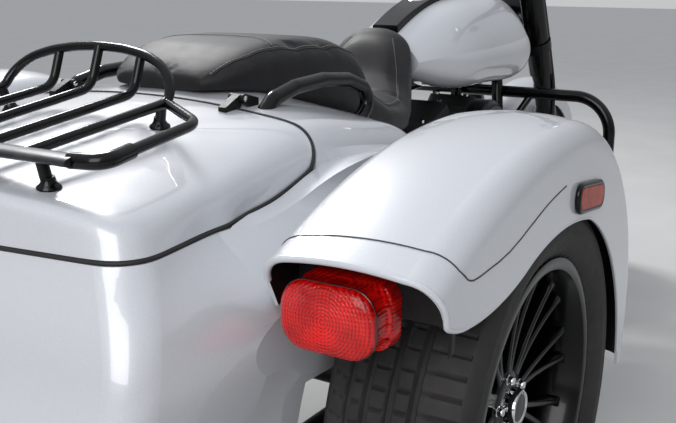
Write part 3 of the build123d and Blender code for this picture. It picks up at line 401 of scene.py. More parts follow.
def tyre_piece(name, body, centre, rim_r, tyre_r, width, drop, grooves, pitches, outer, count=504):
    """A tyre: a section of (across, radius) from bead to bead, spun round its axle and cut by its tread.

    The crown's radius is tyre_r - drop * |y / tread|^2.4, and two arcs lead from it down to each bead.
    """
    half = width / 2
    tread = half - 15
    bead = half - 22
    crown_y = np.linspace(-tread, tread, 96)
    crown_r = tyre_r - drop * abs(crown_y / tread) ** 2.4
    edge_r = tyre_r - drop
    middle_r = (rim_r + tyre_r) / 2 + 6
    wall = arc_through((tread, edge_r), (half - 2.2, edge_r - 17), (half - 0.4, middle_r + 6), 10)[1:]
    lower = arc_through((half - 0.4, middle_r + 6), (half - 3.5, middle_r - 18),
                        (bead + 3, rim_r + 13), 12)[1:]
    outside = np.vstack([wall, lower, ((bead, rim_r + 6), (bead - 1, rim_r + 0.6))])
    for ring_r in (middle_r - 9, middle_r + 14):
        outside[abs(outside[:, 1] - ring_r) < 2.0, 0] += 0.8
    inside = outside[::-1] * (-1, 1)
    y = np.concatenate([inside[:, 0], crown_y, outside[:, 0]])
    r = np.concatenate([inside[:, 1], crown_r, outside[:, 1]])
    angle = np.linspace(0, 2 * PI, count, endpoint=False)[:, None]
    radius = r - tread_depth(y, angle, tread, grooves, pitches) * (abs(y) <= tread)
    x0, y0, z0 = centre
    points = place(x0 + radius * np.cos(angle), y0 + outer * y + 0 * radius, z0 + radius * np.sin(angle))
    return grid(name, np.stack(points, axis=-1), body, tyre_rubber, wrap_rows=True, wrap_cols=True)


tyre_rubber = finish("tyre_rubber", ("#1A1919", "#262423", 18.0), (0.62, 0.82, 70.0),
                     (450.0, 4.0, 0.25, 0.0006))
dress(tyre_rubber, "rear_tyre_left", "rear_tyre_right", "front_tyre")
# Each groove is (its middle across the tread, its width)
REAR_GROOVES = ((-64, 9), (-37, 9), (-3, 10), (31, 9))
FRONT_GROOVES = ((-24, 5), (0, 5), (24, 5))
TRACK_HALF, REAR_RADIUS, REAR_RIM = 575, 325, 229
FRONT_X, FRONT_RADIUS, FRONT_RIM = 1670, 319, 241
for side_name, s in SIDES:
    tyre = tyre_piece(f"tyre_rear_{side_name}", f"rear_wheel_{side_name}", (0, s * TRACK_HALF, REAR_RADIUS),
                      REAR_RIM, REAR_RADIUS, 215, 6, REAR_GROOVES, 72, s)
    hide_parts(f"rear_tyre_{side_name}")
tyre = tyre_piece("tyre_front", "front_wheel", (FRONT_X, 0, FRONT_RADIUS), FRONT_RIM, FRONT_RADIUS, 130, 18,
                  FRONT_GROOVES, 60, 1)
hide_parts("front_tyre")

# Wheels: cast aluminium painted gloss black, a barrel with two flanges, a hub, and ten pairs of spokes that
# split toward the rim. A chrome cap covers the axle nut, five chrome lugs hold each rear wheel, and a disc
# turns with it.
SPOKE_SECTION = np.array((
    # share of the width, inset in millimetres, share of the depth that it lies behind the face
    (-1, 0, -1), (-1, 0, -0.16), (-1, 0.9, -0.05), (-1, 2.6, 0), (1, -2.6, 0), (1, -0.9, -0.05),
    (1, 0, -0.16), (1, 0, -1), (1, -4, -1.15), (-1, 4, -1.15)))
SPOKE_START = 9.75


def spokes(name, body, centre, outer, reach, faces, depth, steps=26):
    """Ten pairs of blades from the hub to the rim.

    Each blade's middle runs from radius reach[0] to reach[1] while it opens from 2.5 to 7.6 degrees as
    u^0.8, its face moves along the axle from faces[0] to faces[1] as u^2, and both ends flare.
    """
    u = np.linspace(0, 1, steps)
    radius = reach[0] + (reach[1] - reach[0]) * u
    flare = 22 * np.clip((u - 0.8) / 0.2, 0, 1) ** 2.6 + 12 * np.clip((0.22 - u) / 0.22, 0, 1) ** 2
    width = 10.5 + 3 * (1 - u) ** 2 + flare
    face = faces[0] + (faces[1] - faces[0]) * u ** 2
    edge, inset, sink = SPOKE_SECTION.T
    aside = width[:, None] / 2 * edge + inset
    x0, y0, z0 = centre
    verts, mesh_faces = [], []
    for pair in range(10):
        for hand in (1, -1):
            angle = math.radians(SPOKE_START + pair * 36) + hand * np.radians(2.5 + 5.1 * u ** 0.8)
            cos, sin = np.cos(angle)[:, None], np.sin(angle)[:, None]
            blade = place(x0 + radius[:, None] * cos - aside * sin,
                          y0 + outer * (face[:, None] + sink * depth),
                          z0 + radius[:, None] * sin + aside * cos)
            mesh_faces += tube_faces(len(verts), steps, len(SPOKE_SECTION))
            verts += np.stack(blade, axis=-1).reshape(-1, 3).tolist()
    return mesh_piece(name, verts, mesh_faces, body, black_gloss)


def wheel_pieces(name, node, body, centre, rim_r, half, outer, reach, faces, depth, hub):
    """One wheel over its CAD rim: a barrel spun from its section of (across, radius), spokes and a hub."""
    section = np.array((
        (half, rim_r + 10), (half + 0.6, rim_r + 8), (half + 0.6, rim_r - 3), (half - 1.5, rim_r - 8),
        (half - 8, rim_r - 11), (half - 26, rim_r - 21), (0, rim_r - 24), (-half + 30, rim_r - 14),
        (-half + 2, rim_r - 9), (-half, rim_r - 7), (-half, rim_r + 10), (-half + 6, rim_r + 10),
        (-half + 9, rim_r + 0.2), (half - 9, rim_r + 0.2), (half - 6, rim_r + 10)))
    x0, y0, z0 = centre
    t = np.linspace(0, 2 * PI, 128, endpoint=False)[:, None]
    y, r = section.T
    points = place(x0 + r * np.cos(t), y0 + outer * y + 0 * t, z0 + r * np.sin(t))
    barrel = grid(f"{name}_barrel", np.stack(points, axis=-1), body, black_gloss,
                  wrap_rows=True, wrap_cols=True)
    spokes(f"{name}_spokes", body, centre, outer, reach, faces, depth)
    turned(f"{name}_hub", centre, (0, outer, 0), hub, body, black_gloss)
    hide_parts(node)


dress(black_gloss, "rear_rim_left", "rear_rim_right", "front_rim")
REAR_HUB = ((-72, 0.5), (-72, 46), (-30, 46), (-20, 56), (26, 60), (40, 56), (44, 50), (45, 40), (45, 0.5))
FRONT_HUB = ((-63, 0.5), (-63, 40), (-40, 46), (40, 46), (63, 40), (63, 0.5))
LUG_ANGLES = [math.radians(bolt * 72 + 27) for bolt in range(5)]
for side_name, s in SIDES:
    body = f"rear_wheel_{side_name}"
    wheel_pieces(f"wheel_{side_name}", f"rear_rim_{side_name}", body, (0, s * TRACK_HALF, REAR_RADIUS),
                 REAR_RIM, 92.5, s, (44, 219), (42, 66), 22, REAR_HUB)
    cap_at = (0, s * (TRACK_HALF + 45), REAR_RADIUS)
    turned(f"wheel_{side_name}_cap", cap_at, (0, s, 0),
           ((-2, 31), (3, 31), (14, 30), (18.5, 28.5), (20, 26), (19, 23.5), (17.5, 22.5), (17.5, 0.3)),
           body, chrome)
    turned(f"wheel_{side_name}_cap_face", cap_at, (0, s, 0),
           ((17.0, 22), (18.4, 21.5), (19.4, 14), (19.8, 0.3)), body, black_gloss)
    studs(f"wheel_{side_name}_lugs", bolt_circle(0, s * (TRACK_HALF + 43), REAR_RADIUS, 45, LUG_ANGLES, s),
          ((-2, 8.5), (2, 8.5), (2.6, 7), (9, 6.8), (11, 5.5), (11.2, 0.3)), body, chrome, 18)
    turned(f"brake_disc_{side_name}", (0, s * (TRACK_HALF - 63), REAR_RADIUS), (0, s, 0),
           ((-3, 44), (-3, 146), (3, 146), (3, 44)), body, steel, 96)
    turned(f"wheel_{side_name}_valve", (-203, s * (TRACK_HALF + 63), REAR_RADIUS - 76), (-0.2, s, 0),
           ((0, 4.5), (14, 4.5), (15, 4), (30, 4), (31, 3)), body, black_satin, 12)
wheel_pieces("wheel_front", "front_rim", "front_wheel", (FRONT_X, 0, FRONT_RADIUS), FRONT_RIM, 50, 1,
             (42, 232), (14, 14), 26, FRONT_HUB)


# Fork and brakes: gloss black tubes and clamps, calipers cast and painted satin, and two steel discs drilled
# for cooling on black carriers with chrome bolts. A rubber hose runs from each lever down the fork.
def bent(corners, bend, count=9):
    """A path through corners in millimetres, each eased over bend as A (1 - u)^2 + 2 P u (1 - u) + B u^2."""
    points = np.asarray(corners, float)
    path = [points[0]]
    for before, corner, after in zip(points[:-2], points[1:-1], points[2:]):
        back, ahead = before - corner, after - corner
        a = corner + back * min(0.5, bend / np.linalg.norm(back))
        b = corner + ahead * min(0.5, bend / np.linalg.norm(ahead))
        path += [a * (1 - u) ** 2 + 2 * corner * u * (1 - u) + b * u ** 2 for u in np.linspace(0, 1, count)]
    path.append(points[-1])
    kept = [path[0]] + [q for p, q in zip(path, path[1:]) if np.linalg.norm(q - p) > 0.2]
    return np.array([place(*point) for point in kept])


dress(black_gloss, "fork")
dress(black_satin, "front_calipers", "rear_calipers")
dress(steel, "front_disc")
HOLE_RINGS = ((112, 0.0), (126, 0.26), (140, 0.13))
HOLES_PER_RING = 12
holes = []
for s in (1, -1):
    for ring_radius, turn in HOLE_RINGS:
        angles = [2 * PI * k / HOLES_PER_RING + turn for k in range(HOLES_PER_RING)]
        holes += bolt_circle(FRONT_X, s * 66, FRONT_RADIUS, ring_radius, angles, 1)
studs("front_disc_holes", holes, ((-2.7, 3.6), (2.7, 3.6)), "front_wheel", black_satin, 12)
studs("front_axle_nuts", [((FRONT_X, s * 150, FRONT_RADIUS), (0, s, 0)) for s in (1, -1)],
      ((0, 17), (10, 17), (12, 15), (12.4, 0.3)), "steering", chrome, 6)
for side_name, s in SIDES:
    turned(f"disc_carrier_{side_name}", (FRONT_X, s * 68.4, FRONT_RADIUS), (0, s, 0),
           ((-0.6, 94), (1.2, 94), (2, 92), (3, 60), (5, 48), (5.2, 22)), "front_wheel", black_gloss)
    studs(f"disc_bolts_{side_name}", bolt_circle(FRONT_X, s * 69.8, FRONT_RADIUS, 84, SIX_AROUND, s),
          ((0, 5.5), (3, 5.5), (4, 4.5), (4.2, 0.3)), "front_wheel", chrome, 12)
    hose = bent(((1196, s * 322, 1096), (1262, s * 236, 1060), (1330, s * 146, 990), (1404, s * 146, 860),
                 (1500, s * 152, 640), (1545, s * 128, 420)), 60)
    wire(f"hose_{side_name}", hose, 0.0048, "steering", soft_rubber, sides=12)


# Controls: a black handlebar with ribbed rubber grips between chrome ends, chrome lever pivots, and mirrors,
# each a glass silvered behind in a moulded oval shell. The clamps are screwed to the bar.
def oval_stack(name, centre, across, upward, normal, rings, body, material, count=56):
    """A skin through ovals: place + along * normal + a cos t * across + b sin t * upward, for each ring."""
    t = np.linspace(0, 2 * PI, count, endpoint=False)[:, None]
    axes = [np.asarray(v, float) / np.linalg.norm(v) for v in (across, upward, normal)]
    base = np.asarray(place(*centre))
    table = [base + (along * axes[2] + a * np.cos(t) * axes[0] + b * np.sin(t) * axes[1]) / 1000
             for along, a, b in rings]
    return grid(name, np.array(table), body, material, wrap_cols=True, cap_rows=True)


dress(black_gloss, "handlebar")
dress(black_satin, "hand_controls")
GRIP_NEAR, GRIP_FAR = np.array((1185, 335.5, 1108)), np.array((1083, 406.5, 1079))
RIB_COUNT, RIB_PITCH = 17, 7
ribs = [(1, 17), (1, 21), (5, 21)]
for k in range(RIB_COUNT):
    start = 7 + RIB_PITCH * k
    ribs += [(start, 19.2), (start + 1, 20.2), (start + 5, 20.2), (start + 6, 19.2)]
ribs += [(126.5, 19.2), (126.5, 0.3)]
for side_name, s in SIDES:
    near, far = GRIP_NEAR * (1, s, 1), GRIP_FAR * (1, s, 1)
    turned(f"grip_{side_name}", near, far - near, ribs, "steering", soft_rubber, 32)
    turned(f"grip_end_{side_name}", far, far - near, ((-1, 19.5), (4, 19.5), (7, 17), (8, 0.3)),
           "steering", chrome, 32)
    oval_stack(f"mirror_glass_{side_name}", (1196, s * 372, 1202), (0, 1, 0), (-0.1, 0, 1), (-1, 0, -0.1),
               ((-1, 62, 36), (0.7, 62, 36), (1.3, 60.5, 34.5)), "steering", chrome)
    oval_stack(f"mirror_shell_{side_name}", (1218, s * 372, 1204), (0, 1, 0), (-0.1, 0, 1), (1, 0, 0.1),
               ((-22, 68.6, 42.6), (-6, 68.6, 42.6), (0, 66, 40), (5, 56, 32), (8, 34, 18), (8.6, 4, 2)),
               "steering", black_gloss)
    turned(f"lever_pivot_{side_name}", (1196, s * 334, 1093), (0, 0, 1), ((0, 9), (3, 9), (4, 7), (4.2, 0.3)),
           "steering", chrome, 24)

# Headlamp and indicators: a spun steel shell painted gloss black with a silvered bowl and a bulb behind a
# clear moulded lens, held by a chrome ring. Each indicator is a black cup on a stalk with an amber plastic
# lens pressed in.
lens_clear = finish("lens_clear", ("#F2F4F6", "#FAFBFC", 10.0), (0.01, 0.03, 30.0), None,
                    {"Transmission Weight": 1.0, "IOR": 1.45, "Coat Weight": 0.5})
lens_amber = finish("lens_amber", ("#931C06", "#B63A0A", 60.0), (0.2, 0.3, 50.0), None,
                    {"Transmission Weight": 0.1, "IOR": 1.49, "Specular IOR Level": 0.1, "Coat Weight": 0.12,
                     "Coat Roughness": 0.05})
dress(black_gloss, "headlamp", "front_indicators")
LAMP_AT = (1466, 0, 850)
BULB_AT = (1493, 0, 850)
RING_X, RING_RADIUS = 1562, 82
shell = turned("headlamp_shell", LAMP_AT, (1, 0, 0),
               ((0, 0.3), (0, 30), (4, 44), (14, 66), (28, 81), (44, 84.4), (93, 84.4), (96, 82), (95, 79.5),
                (80, 78.5), (60, 74), (40, 60), (30, 38), (26, 20), (25, 0.3)), "steering", black_gloss, 72)
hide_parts("headlamp")
turned("headlamp_bowl", LAMP_AT, (1, 0, 0),
       ((25.5, 0.3), (26.5, 20), (30.5, 37.4), (40.5, 59.4), (60.5, 73.4), (80, 77.8), (93, 78.8), (93, 77.8),
        (80, 77), (61, 72), (42, 58), (32, 36), (28, 20), (27, 0.3)), "steering", chrome, 72)
turned("headlamp_bulb", BULB_AT, (1, 0, 0), ((0, 9), (20, 9), (22, 14), (40, 15), (48, 11), (52, 0.3)),
       "steering", chrome, 32)
turned("headlamp_lens", LAMP_AT, (1, 0, 0),
       ((94, 0.3), (94, 78), (97, 79), (102, 70), (108, 50), (112, 26), (113.5, 0.3)),
       "steering", lens_clear, 72)
y, z = circle(RING_RADIUS, 72).T
ring = np.stack(place(RING_X + 0 * y, y, LAMP_AT[2] + z), axis=-1)
wire("headlamp_ring", ring, 0.0046, "steering", chrome, sides=12, closed=True)
for side_name, s in SIDES:
    turned(f"indicator_lens_{side_name}", (1268, s * 293.5, 1042), (1, 0, 0),
           ((-4, 24), (2.2, 25.8), (6, 24), (9, 17), (10.5, 0.3)), "steering", lens_amber, 40)
    turned(f"indicator_cup_{side_name}", (1222, s * 293.5, 1042), (-1, 0, 0),
           ((-46, 26.6), (-2, 26.6), (6, 23), (11, 14), (12, 0.3)), "steering", black_gloss, 40)

# Painted panels, tank and console: pressed steel in pale grey pearl under a deep clear coat, which gives a
# soft body colour and sharp reflections. Its flakes are drawn a millimetre wide, far coarser than real ones,
# to show.
body_paint, shader, coords = new_material("body_paint", {
    "Metallic": 0.12, "Roughness": 0.38, "Coat Weight": 1.0, "Coat Roughness": 0.03, "Coat IOR": 1.5})
patches(body_paint, shader, coords, ("#BDBFC5", "#C6C8CD", 900.0))
peel = add_node(body_paint, "ShaderNodeTexNoise", {"Vector": coords, "Scale": 60.0, "Detail": 1.0})
raised = add_node(body_paint, "ShaderNodeBump",
                  {"Height": peel.outputs["Fac"], "Strength": 0.03, "Distance": 0.0004})
body_paint.node_tree.links.new(raised.outputs["Normal"], shader.inputs["Coat Normal"])
dress(body_paint, "fuel_tank", "front_fender", "rear_fender_left", "rear_fender_right", "trunk_body",
      "trunk_lid")
dress(black_gloss, "tank_console")
turned("gauge_ring", (1010, 0, 944), (-0.11, 0, 1),
       ((0, 38), (10, 38), (13, 36), (13.5, 33), (11, 32), (11, 0.3)), "chassis", chrome)
turned("gauge_face", (1010, 0, 944), (-0.11, 0, 1), ((10.5, 31.8), (11.6, 31.8), (11.8, 0.3)),
       "chassis", black_satin)
turned("filler_cap", (870, 0, 912), (-0.24, 0, 1), ((-4, 29), (8, 29), (11, 26), (12, 18), (12.6, 0.3)),
       "chassis", chrome)

# Seat: two foam pads under black leather, a fine-grained, dull hide sewn from panels. The pillion drops to
# the rider's dish, whose nose climbs the tank. Both pads are screwed down through their bases.
leather, shader, coords = new_material("leather", {"Sheen Weight": 0.06, "Specular IOR Level": 0.32})
patches(leather, shader, coords, ("#131214", "#1C1B1D", 22.0), (0.52, 0.62, 35.0))
cells = add_node(leather, "ShaderNodeTexVoronoi", {"Vector": coords, "Scale": 620.0})
raised = add_node(leather, "ShaderNodeBump",
                  {"Height": cells.outputs["Distance"], "Strength": 0.22, "Distance": 0.0006})
leather.node_tree.links.new(raised.outputs["Normal"], shader.inputs["Normal"])
dress(leather, "pillion_seat", "rider_seat")
PILLION = (
    # x, half width, foot z, top z, side power, crown power
    (-92, 96, 777, 800, 0.6, 0.9), (-72, 120, 777, 812, 0.55, 0.85), (-40, 138, 776, 828, 0.5, 0.8),
    (10, 150, 770, 845, 0.45, 0.65), (70, 156, 762, 854, 0.4, 0.55), (150, 163, 744, 857, 0.4, 0.55),
    (240, 171, 722, 852, 0.42, 0.6), (300, 174, 690, 838, 0.46, 0.7), (329, 174, 658, 810, 0.5, 0.8))
RIDER = (
    (333, 174, 662, 806, 0.5, 0.8), (366, 179, 652, 764, 0.5, 0.8), (425, 182, 645, 726, 0.5, 0.8),
    (480, 177, 643, 716, 0.55, 0.85), (530, 164, 643, 722, 0.65, 0.9), (575, 143, 654, 762, 0.8, 1.0),
    (612, 122, 684, 820, 0.95, 1.0), (640, 106, 730, 856, 1.0, 1.0), (660, 88, 768, 864, 1.0, 1.0),
    (674, 62, 798, 852, 1.0, 1.0))
VOXEL = 0.0055
MOST_SWELL = 0.007


def pad_mesh(stations, rings=44, count=56):
    """A crowned pad through its stations, with side power a and crown power b.

    y = half |cos t|^a, z = middle + (top - middle) |sin t|^b above the middle, and
    z = middle - (middle - foot) |sin t|^0.3 below it.
    """
    table = np.array(stations, float)
    x = np.linspace(table[0, 0], table[-1, 0], rings)
    values = [np.interp(x, table[:, 0], table[:, k]) for k in range(1, 6)]
    kernel = np.array([0.25, 0.5, 0.25])
    half, foot, top, a, b = [np.concatenate([v[:1], np.convolve(v, kernel, "valid"), v[-1:]]) for v in values]
    t = np.linspace(0, 2 * PI, count, endpoint=False)
    cos, sin = np.cos(t), np.sin(t)
    y = half[:, None] * np.sign(cos) * abs(cos) ** a[:, None]
    middle = foot + 0.5 * (top - foot)
    above = middle[:, None] + (top - middle)[:, None] * abs(sin) ** b[:, None]
    below = middle[:, None] - (middle - foot)[:, None] * abs(sin) ** 0.3
    return np.stack(place(x[:, None] + 0 * y, y, np.where(sin >= 0, above, below)), axis=-1)


def soften(pad):
    """Remeshes a pad and swells it as pressed foam for 20 frames, each point by at most MOST_SWELL metres."""
    remesh = pad.modifiers.new("remesh", "REMESH")
    remesh.voxel_size = VOXEL
    depsgraph = bpy.context.evaluated_depsgraph_get()
    pad.data = bpy.data.meshes.new_from_object(pad.evaluated_get(depsgraph))
    pad.modifiers.clear()
    size = len(pad.data.vertices) * 3
    start, moved = np.empty(size), np.empty(size)
    pad.data.vertices.foreach_get("co", start)
    cloth = pad.modifiers.new("cloth", "CLOTH")
    cloth.settings.quality = 4
    cloth.settings.use_pressure = True
    cloth.settings.uniform_pressure_force = 4
    cloth.settings.effector_weights.gravity = 0
    for step in range(1, 21):
        bpy.context.scene.frame_set(step)
    depsgraph = bpy.context.evaluated_depsgraph_get()
    pad.evaluated_get(depsgraph).data.vertices.foreach_get("co", moved)
    pad.modifiers.clear()
    bpy.context.scene.frame_set(1)
    shift = (moved - start).reshape(-1, 3)
    length = np.linalg.norm(shift, axis=1)[:, None]
    shift *= np.minimum(1, MOST_SWELL / np.maximum(length, 1e-9))
    pad.data.vertices.foreach_set("co", (start.reshape(-1, 3) + shift).ravel())
    smooth = pad.modifiers.new("smooth", "SUBSURF")
    smooth.levels = smooth.render_levels = 1
    depsgraph = bpy.context.evaluated_depsgraph_get()
    pad.data = bpy.data.meshes.new_from_object(pad.evaluated_get(depsgraph))
    pad.modifiers.clear()
    pad.data.materials.clear()
    pad.data.materials.append(leather)
    pad.data.shade_smooth()


pads = {}
for name, node, stations in (("pillion_pad", "pillion_seat", PILLION), ("rider_pad", "rider_seat", RIDER)):
    pad = grid(name, pad_mesh(stations), "chassis", leather, wrap_cols=True, cap_rows=True)
    soften(pad)
    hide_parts(node)
    pads[name] = pad


# Seat seams: the welted joints between the leather panels, with lines of grey polyester stitches beside
# them. They lie on the swelled covers. The thread is thicker than real thread, so that it shows.
def dropped(pad, points, lift):
    """Where rays straight down through (x, y) in millimetres meet a pad, lift metres off its cover."""
    cover = BVHTree.FromObject(pad, bpy.context.evaluated_depsgraph_get())
    found = []
    for x, y in points:
        hit, normal, _, _ = cover.ray_cast(Vector(place(x, y, 1200)), Vector((0, 0, -1)))
        if hit:
            found.append(tuple(hit + normal * lift))
    return np.array(found)


def sampled(corners, count=60):
    """Places at even steps along the straight runs between corners."""
    corners = np.asarray(corners, float)
    run = np.concatenate([[0], np.cumsum(np.linalg.norm(np.diff(corners, axis=0), axis=1))])
    t = np.linspace(0, run[-1], count)
    return np.stack([np.interp(t, run, corners[:, k]) for k in range(corners.shape[1])], axis=-1)


def stitches(name, path, length=0.0045, gap=0.0025, radius=0.0007):
    """A row of short tubes along a path, each through the places at its start, middle and end."""
    run = np.concatenate([[0], np.cumsum(np.linalg.norm(np.diff(path, axis=0), axis=1))])
    verts, faces = [], []
    for start in np.arange(0, run[-1] - length, length + gap):
        ends = [[np.interp(start + k * length, run, path[:, c]) for c in range(3)] for k in (0, 0.5, 1)]
        faces += tube_faces(len(verts), 3, 6)
        verts += swept(ends, circle(radius, 6)).reshape(-1, 3).tolist()
    return mesh_piece(name, verts, faces, "chassis", thread)


thread = finish("thread", ("#6E6C6B", "#8A8785", 300.0), (0.5, 0.6, 200.0))
PAD_SEAMS = (
    # pad, seam, how far (forward, left) each row of stitches lies from it, and the seam's corners
    ("pillion_pad", "pillion_cross", ((4, 0), (-4, 0)),
     ((60, -128), (92, -70), (104, 0), (92, 70), (60, 128))),
    ("pillion_pad", "pillion_right", ((0, 4),),
     ((-72, -104), (0, -128), (120, -142), (240, -150), (318, -152))),
    ("pillion_pad", "pillion_left", ((0, -4),),
     ((-72, 104), (0, 128), (120, 142), (240, 150), (318, 152))),
    ("rider_pad", "rider_right", ((0, 4),),
     ((352, -154), (430, -158), (520, -138), (590, -96), (640, -56))),
    ("rider_pad", "rider_left", ((0, -4),),
     ((352, 154), (430, 158), (520, 138), (590, 96), (640, 56))))
for pad_name, name, rows, corners in PAD_SEAMS:
    line = dropped(pads[pad_name], sampled(corners, 80), 0.0003)
    wire(f"{name}_seam", line, 0.0011, "chassis", leather, sides=8)
    for letter, aside in zip("ab", rows):
        path = dropped(pads[pad_name], sampled(np.add(corners, aside), 120), 0.0004)
        stitches(f"{name}_stitch_{letter}", path)

# Rear fenders: painted sheet steel whose edge is rolled over a wire, from the trunk round the rear and over
# the wheel. A thin shut line parts the bolted-on rear cap. The inside faces are coloured black as painted
# shade of the wheel well.
shut_line = finish("shut_line", ("#2A2B2E", "#3A3B3F", 80.0), (0.6, 0.7, 60.0))
# The crown's line is an arc at the rear and a tighter one over the wheel, both about places over CROWN_X
CROWN_X = 50
REAR_ARC_Z, REAR_ARC_R = -271, 1043
TOP_ARC_Z, TOP_ARC_R = 412, 360
CROWN_TURN = math.asin(480 / REAR_ARC_R)
FLANK_Y = 694


def crown(run, depth):
    """The (forward, up) place at a run along the crown's line from its rear end, depth above it."""
    back = REAR_ARC_R * CROWN_TURN
    if run <= back:
        a = PI / 2 + CROWN_TURN - run / REAR_ARC_R
        return CROWN_X + (REAR_ARC_R + depth) * math.cos(a), REAR_ARC_Z + (REAR_ARC_R + depth) * math.sin(a)
    a = PI / 2 - (run - back) / TOP_ARC_R
    return CROWN_X + (TOP_ARC_R + depth) * math.cos(a), TOP_ARC_Z + (TOP_ARC_R + depth) * math.sin(a)


# The section is (y, depth), the flank's shut line is (run, depth), and the flank's edge is (x, z)
FENDER_SECTION = np.vstack([
    arc_through((454, -50), (466, -23), (490, -9), 10), arc_through((490, -9), (585, 0), (654, -7), 24)[1:],
    arc_through((654, -7), (685, -22), (FLANK_Y, -50), 14)[1:]])
FLANK_LINE = ((59, -41), (65, -52), (76, -61), (92, -68), (115, -75), (155, -86), (190, -92), (230, -94),
              (285, -92), (340, -88), (420, -84))
LIP_FLANK = np.vstack([
    arc_through((-405, 594), (-378, 582), (-346, 576), 10)[1:],
    arc_through((-346, 576), (-250, 577), (-150, 600), 16)[1:],
    arc_through((-150, 600), (-20, 622), (110, 610), 20)[1:],
    arc_through((110, 610), (262, 500), (337, 315), 30)[1:]])
LIP_PLACES = 190
WHEEL_WELL_SHADE_IN = 100
# How thick the rolled edge is at some of its places, in millimetres
thick = np.interp(np.arange(LIP_PLACES), (0, 34, 50, 70, 189), (4.6, 4.6, 3.4, 2.6, 2.4))
bpy.context.view_layer.update()
for side_name, s in SIDES:
    line, lip = [], []
    for (y, depth), run in zip(FENDER_SECTION[:-4], np.linspace(38, 56, len(FENDER_SECTION))):
        x, z = crown(run, depth)
        line.append(place(x, s * y, z))
    for run, depth in sampled(FLANK_LINE, 40):
        x, z = crown(run, depth)
        line.append(place(x, s * FLANK_Y, z))
    wire(f"fender_shut_line_{side_name}", line, 0.0011, "chassis", shut_line, sides=6)
    for y, depth in FENDER_SECTION:
        x, z = crown(3, depth - 3.6)
        lip.append(place(x, s * (y + (574 - y) * 0.012), z))
    lip += [place(x, s * (FLANK_Y - 1.8), z + 1.5) for x, z in LIP_FLANK]
    skin = swept(sampled(lip, LIP_PLACES), thick[:, None, None] / 1000 * circle(1.0, 14))
    grid(f"fender_lip_{side_name}", skin, "chassis", body_paint, wrap_cols=True, cap_rows=True)
    # Painted shade of the wheel well: black on the faces that look toward the middle of their section,
    # set in below the crown
    fender = nodes[f"rear_fender_{side_name}"]
    fender.data.materials.append(black_satin)
    for polygon in fender.data.polygons:
        at = fender.matrix_world @ polygon.center
        facing = (fender.matrix_world.to_3x3() @ polygon.normal).normalized()
        x, z = (at.x - REAR_AXLE_X) * 1000, at.z * 1000
        low, radius = (REAR_ARC_Z, REAR_ARC_R) if x < CROWN_X else (TOP_ARC_Z, TOP_ARC_R)
        radius -= WHEEL_WELL_SHADE_IN
        a = math.atan2(z - low, x - CROWN_X) if z > low else 0.0
        level = low + radius * math.sin(a) if z > low else z
        middle = Vector(place(CROWN_X + radius * math.cos(a), s * 574, level))
        if facing.dot((middle - at).normalized()) > 0.25:
            polygon.material_index = 1

# Tail lamps: a red lens moulded in acrylic, with rings round its middle and a fine grid outside them that
# catch the light, seated on a bracket under the fender. Its rings and grid are drawn 4 to 5 mm apart. Their
# crests and broad patches of the lens are painted a lighter red, as painted highlights.
LENS_Y, LENS_Z = 541, 574
tail_lens, shader, coords = new_material("tail_lens", {
    "Transmission Weight": 0.12, "IOR": 1.49, "Roughness": 0.16, "Specular IOR Level": 0.25,
    "Coat Weight": 0.45, "Coat Roughness": 0.03})
split = add_node(tail_lens, "ShaderNodeSeparateXYZ", {"Vector": coords})
numbers = {"y": split.outputs["Y"], "z": split.outputs["Z"]}
RING_PITCH, GRID_PITCH = 0.0042, 0.0052
PATTERN = (
    # number, operation, and the two that it is worked out from
    ("across", "ABSOLUTE", "y", 0), ("aside", "SUBTRACT", "across", LENS_Y / 1000),
    ("above", "SUBTRACT", "z", LENS_Z / 1000), ("aside squared", "MULTIPLY", "aside", "aside"),
    ("above squared", "MULTIPLY", "above", "above"),
    ("both squared", "ADD", "aside squared", "above squared"), ("distance", "SQRT", "both squared", 0),
    ("ring turns", "MULTIPLY", "distance", 2 * PI / RING_PITCH), ("rings", "SINE", "ring turns", 0),
    ("column turns", "MULTIPLY", "aside", 2 * PI / GRID_PITCH), ("columns", "SINE", "column turns", 0),
    ("row turns", "MULTIPLY", "above", 2 * PI / GRID_PITCH), ("rows", "SINE", "row turns", 0),
    ("grid", "MAXIMUM", "columns", "rows"), ("height", "ADD", "rings", "grid"))
for name, operation, first, second in PATTERN:
    node = add_node(tail_lens, "ShaderNodeMath", {0: numbers[first], 1: numbers.get(second, second)},
                    operation=operation)
    numbers[name] = node.outputs[0]
height = numbers["height"]
raised = add_node(tail_lens, "ShaderNodeBump", {"Height": height, "Strength": 0.45, "Distance": 0.0008})
# Painted highlights: the red is lighter on the crests of the rings and grid and in broad noise patches.
crest_highlight = add_node(tail_lens, "ShaderNodeMapRange", {"Value": height, "From Min": -3, "From Max": 2})
highlight_patches = add_node(tail_lens, "ShaderNodeTexNoise", {"Vector": coords, "Scale": 26.0, "Detail": 1.0})
painted_highlight = add_node(tail_lens, "ShaderNodeMath", {0: crest_highlight.outputs["Result"], 1: highlight_patches.outputs["Fac"]},
                 operation="MULTIPLY")
tone = add_node(tail_lens, "ShaderNodeValToRGB", {"Fac": painted_highlight.outputs[0]},
                ((0.0, "#5E0103"), (0.5, "#F01410")))
tail_lens.node_tree.links.new(raised.outputs["Normal"], shader.inputs["Normal"])
tail_lens.node_tree.links.new(tone.outputs["Color"], shader.inputs["Base Color"])
lens_dark = finish("lens_dark", ("#2A0204", "#3A0406", 80.0), (0.2, 0.3, 60.0), None,
                   {"Coat Weight": 0.5, "Coat Roughness": 0.05})
dress(tail_lens, "tail_lamp_left", "tail_lamp_right")
# The lamp brackets are coloured satin black as painted shade under the fender.
dress(black_satin, "lamp_brackets")


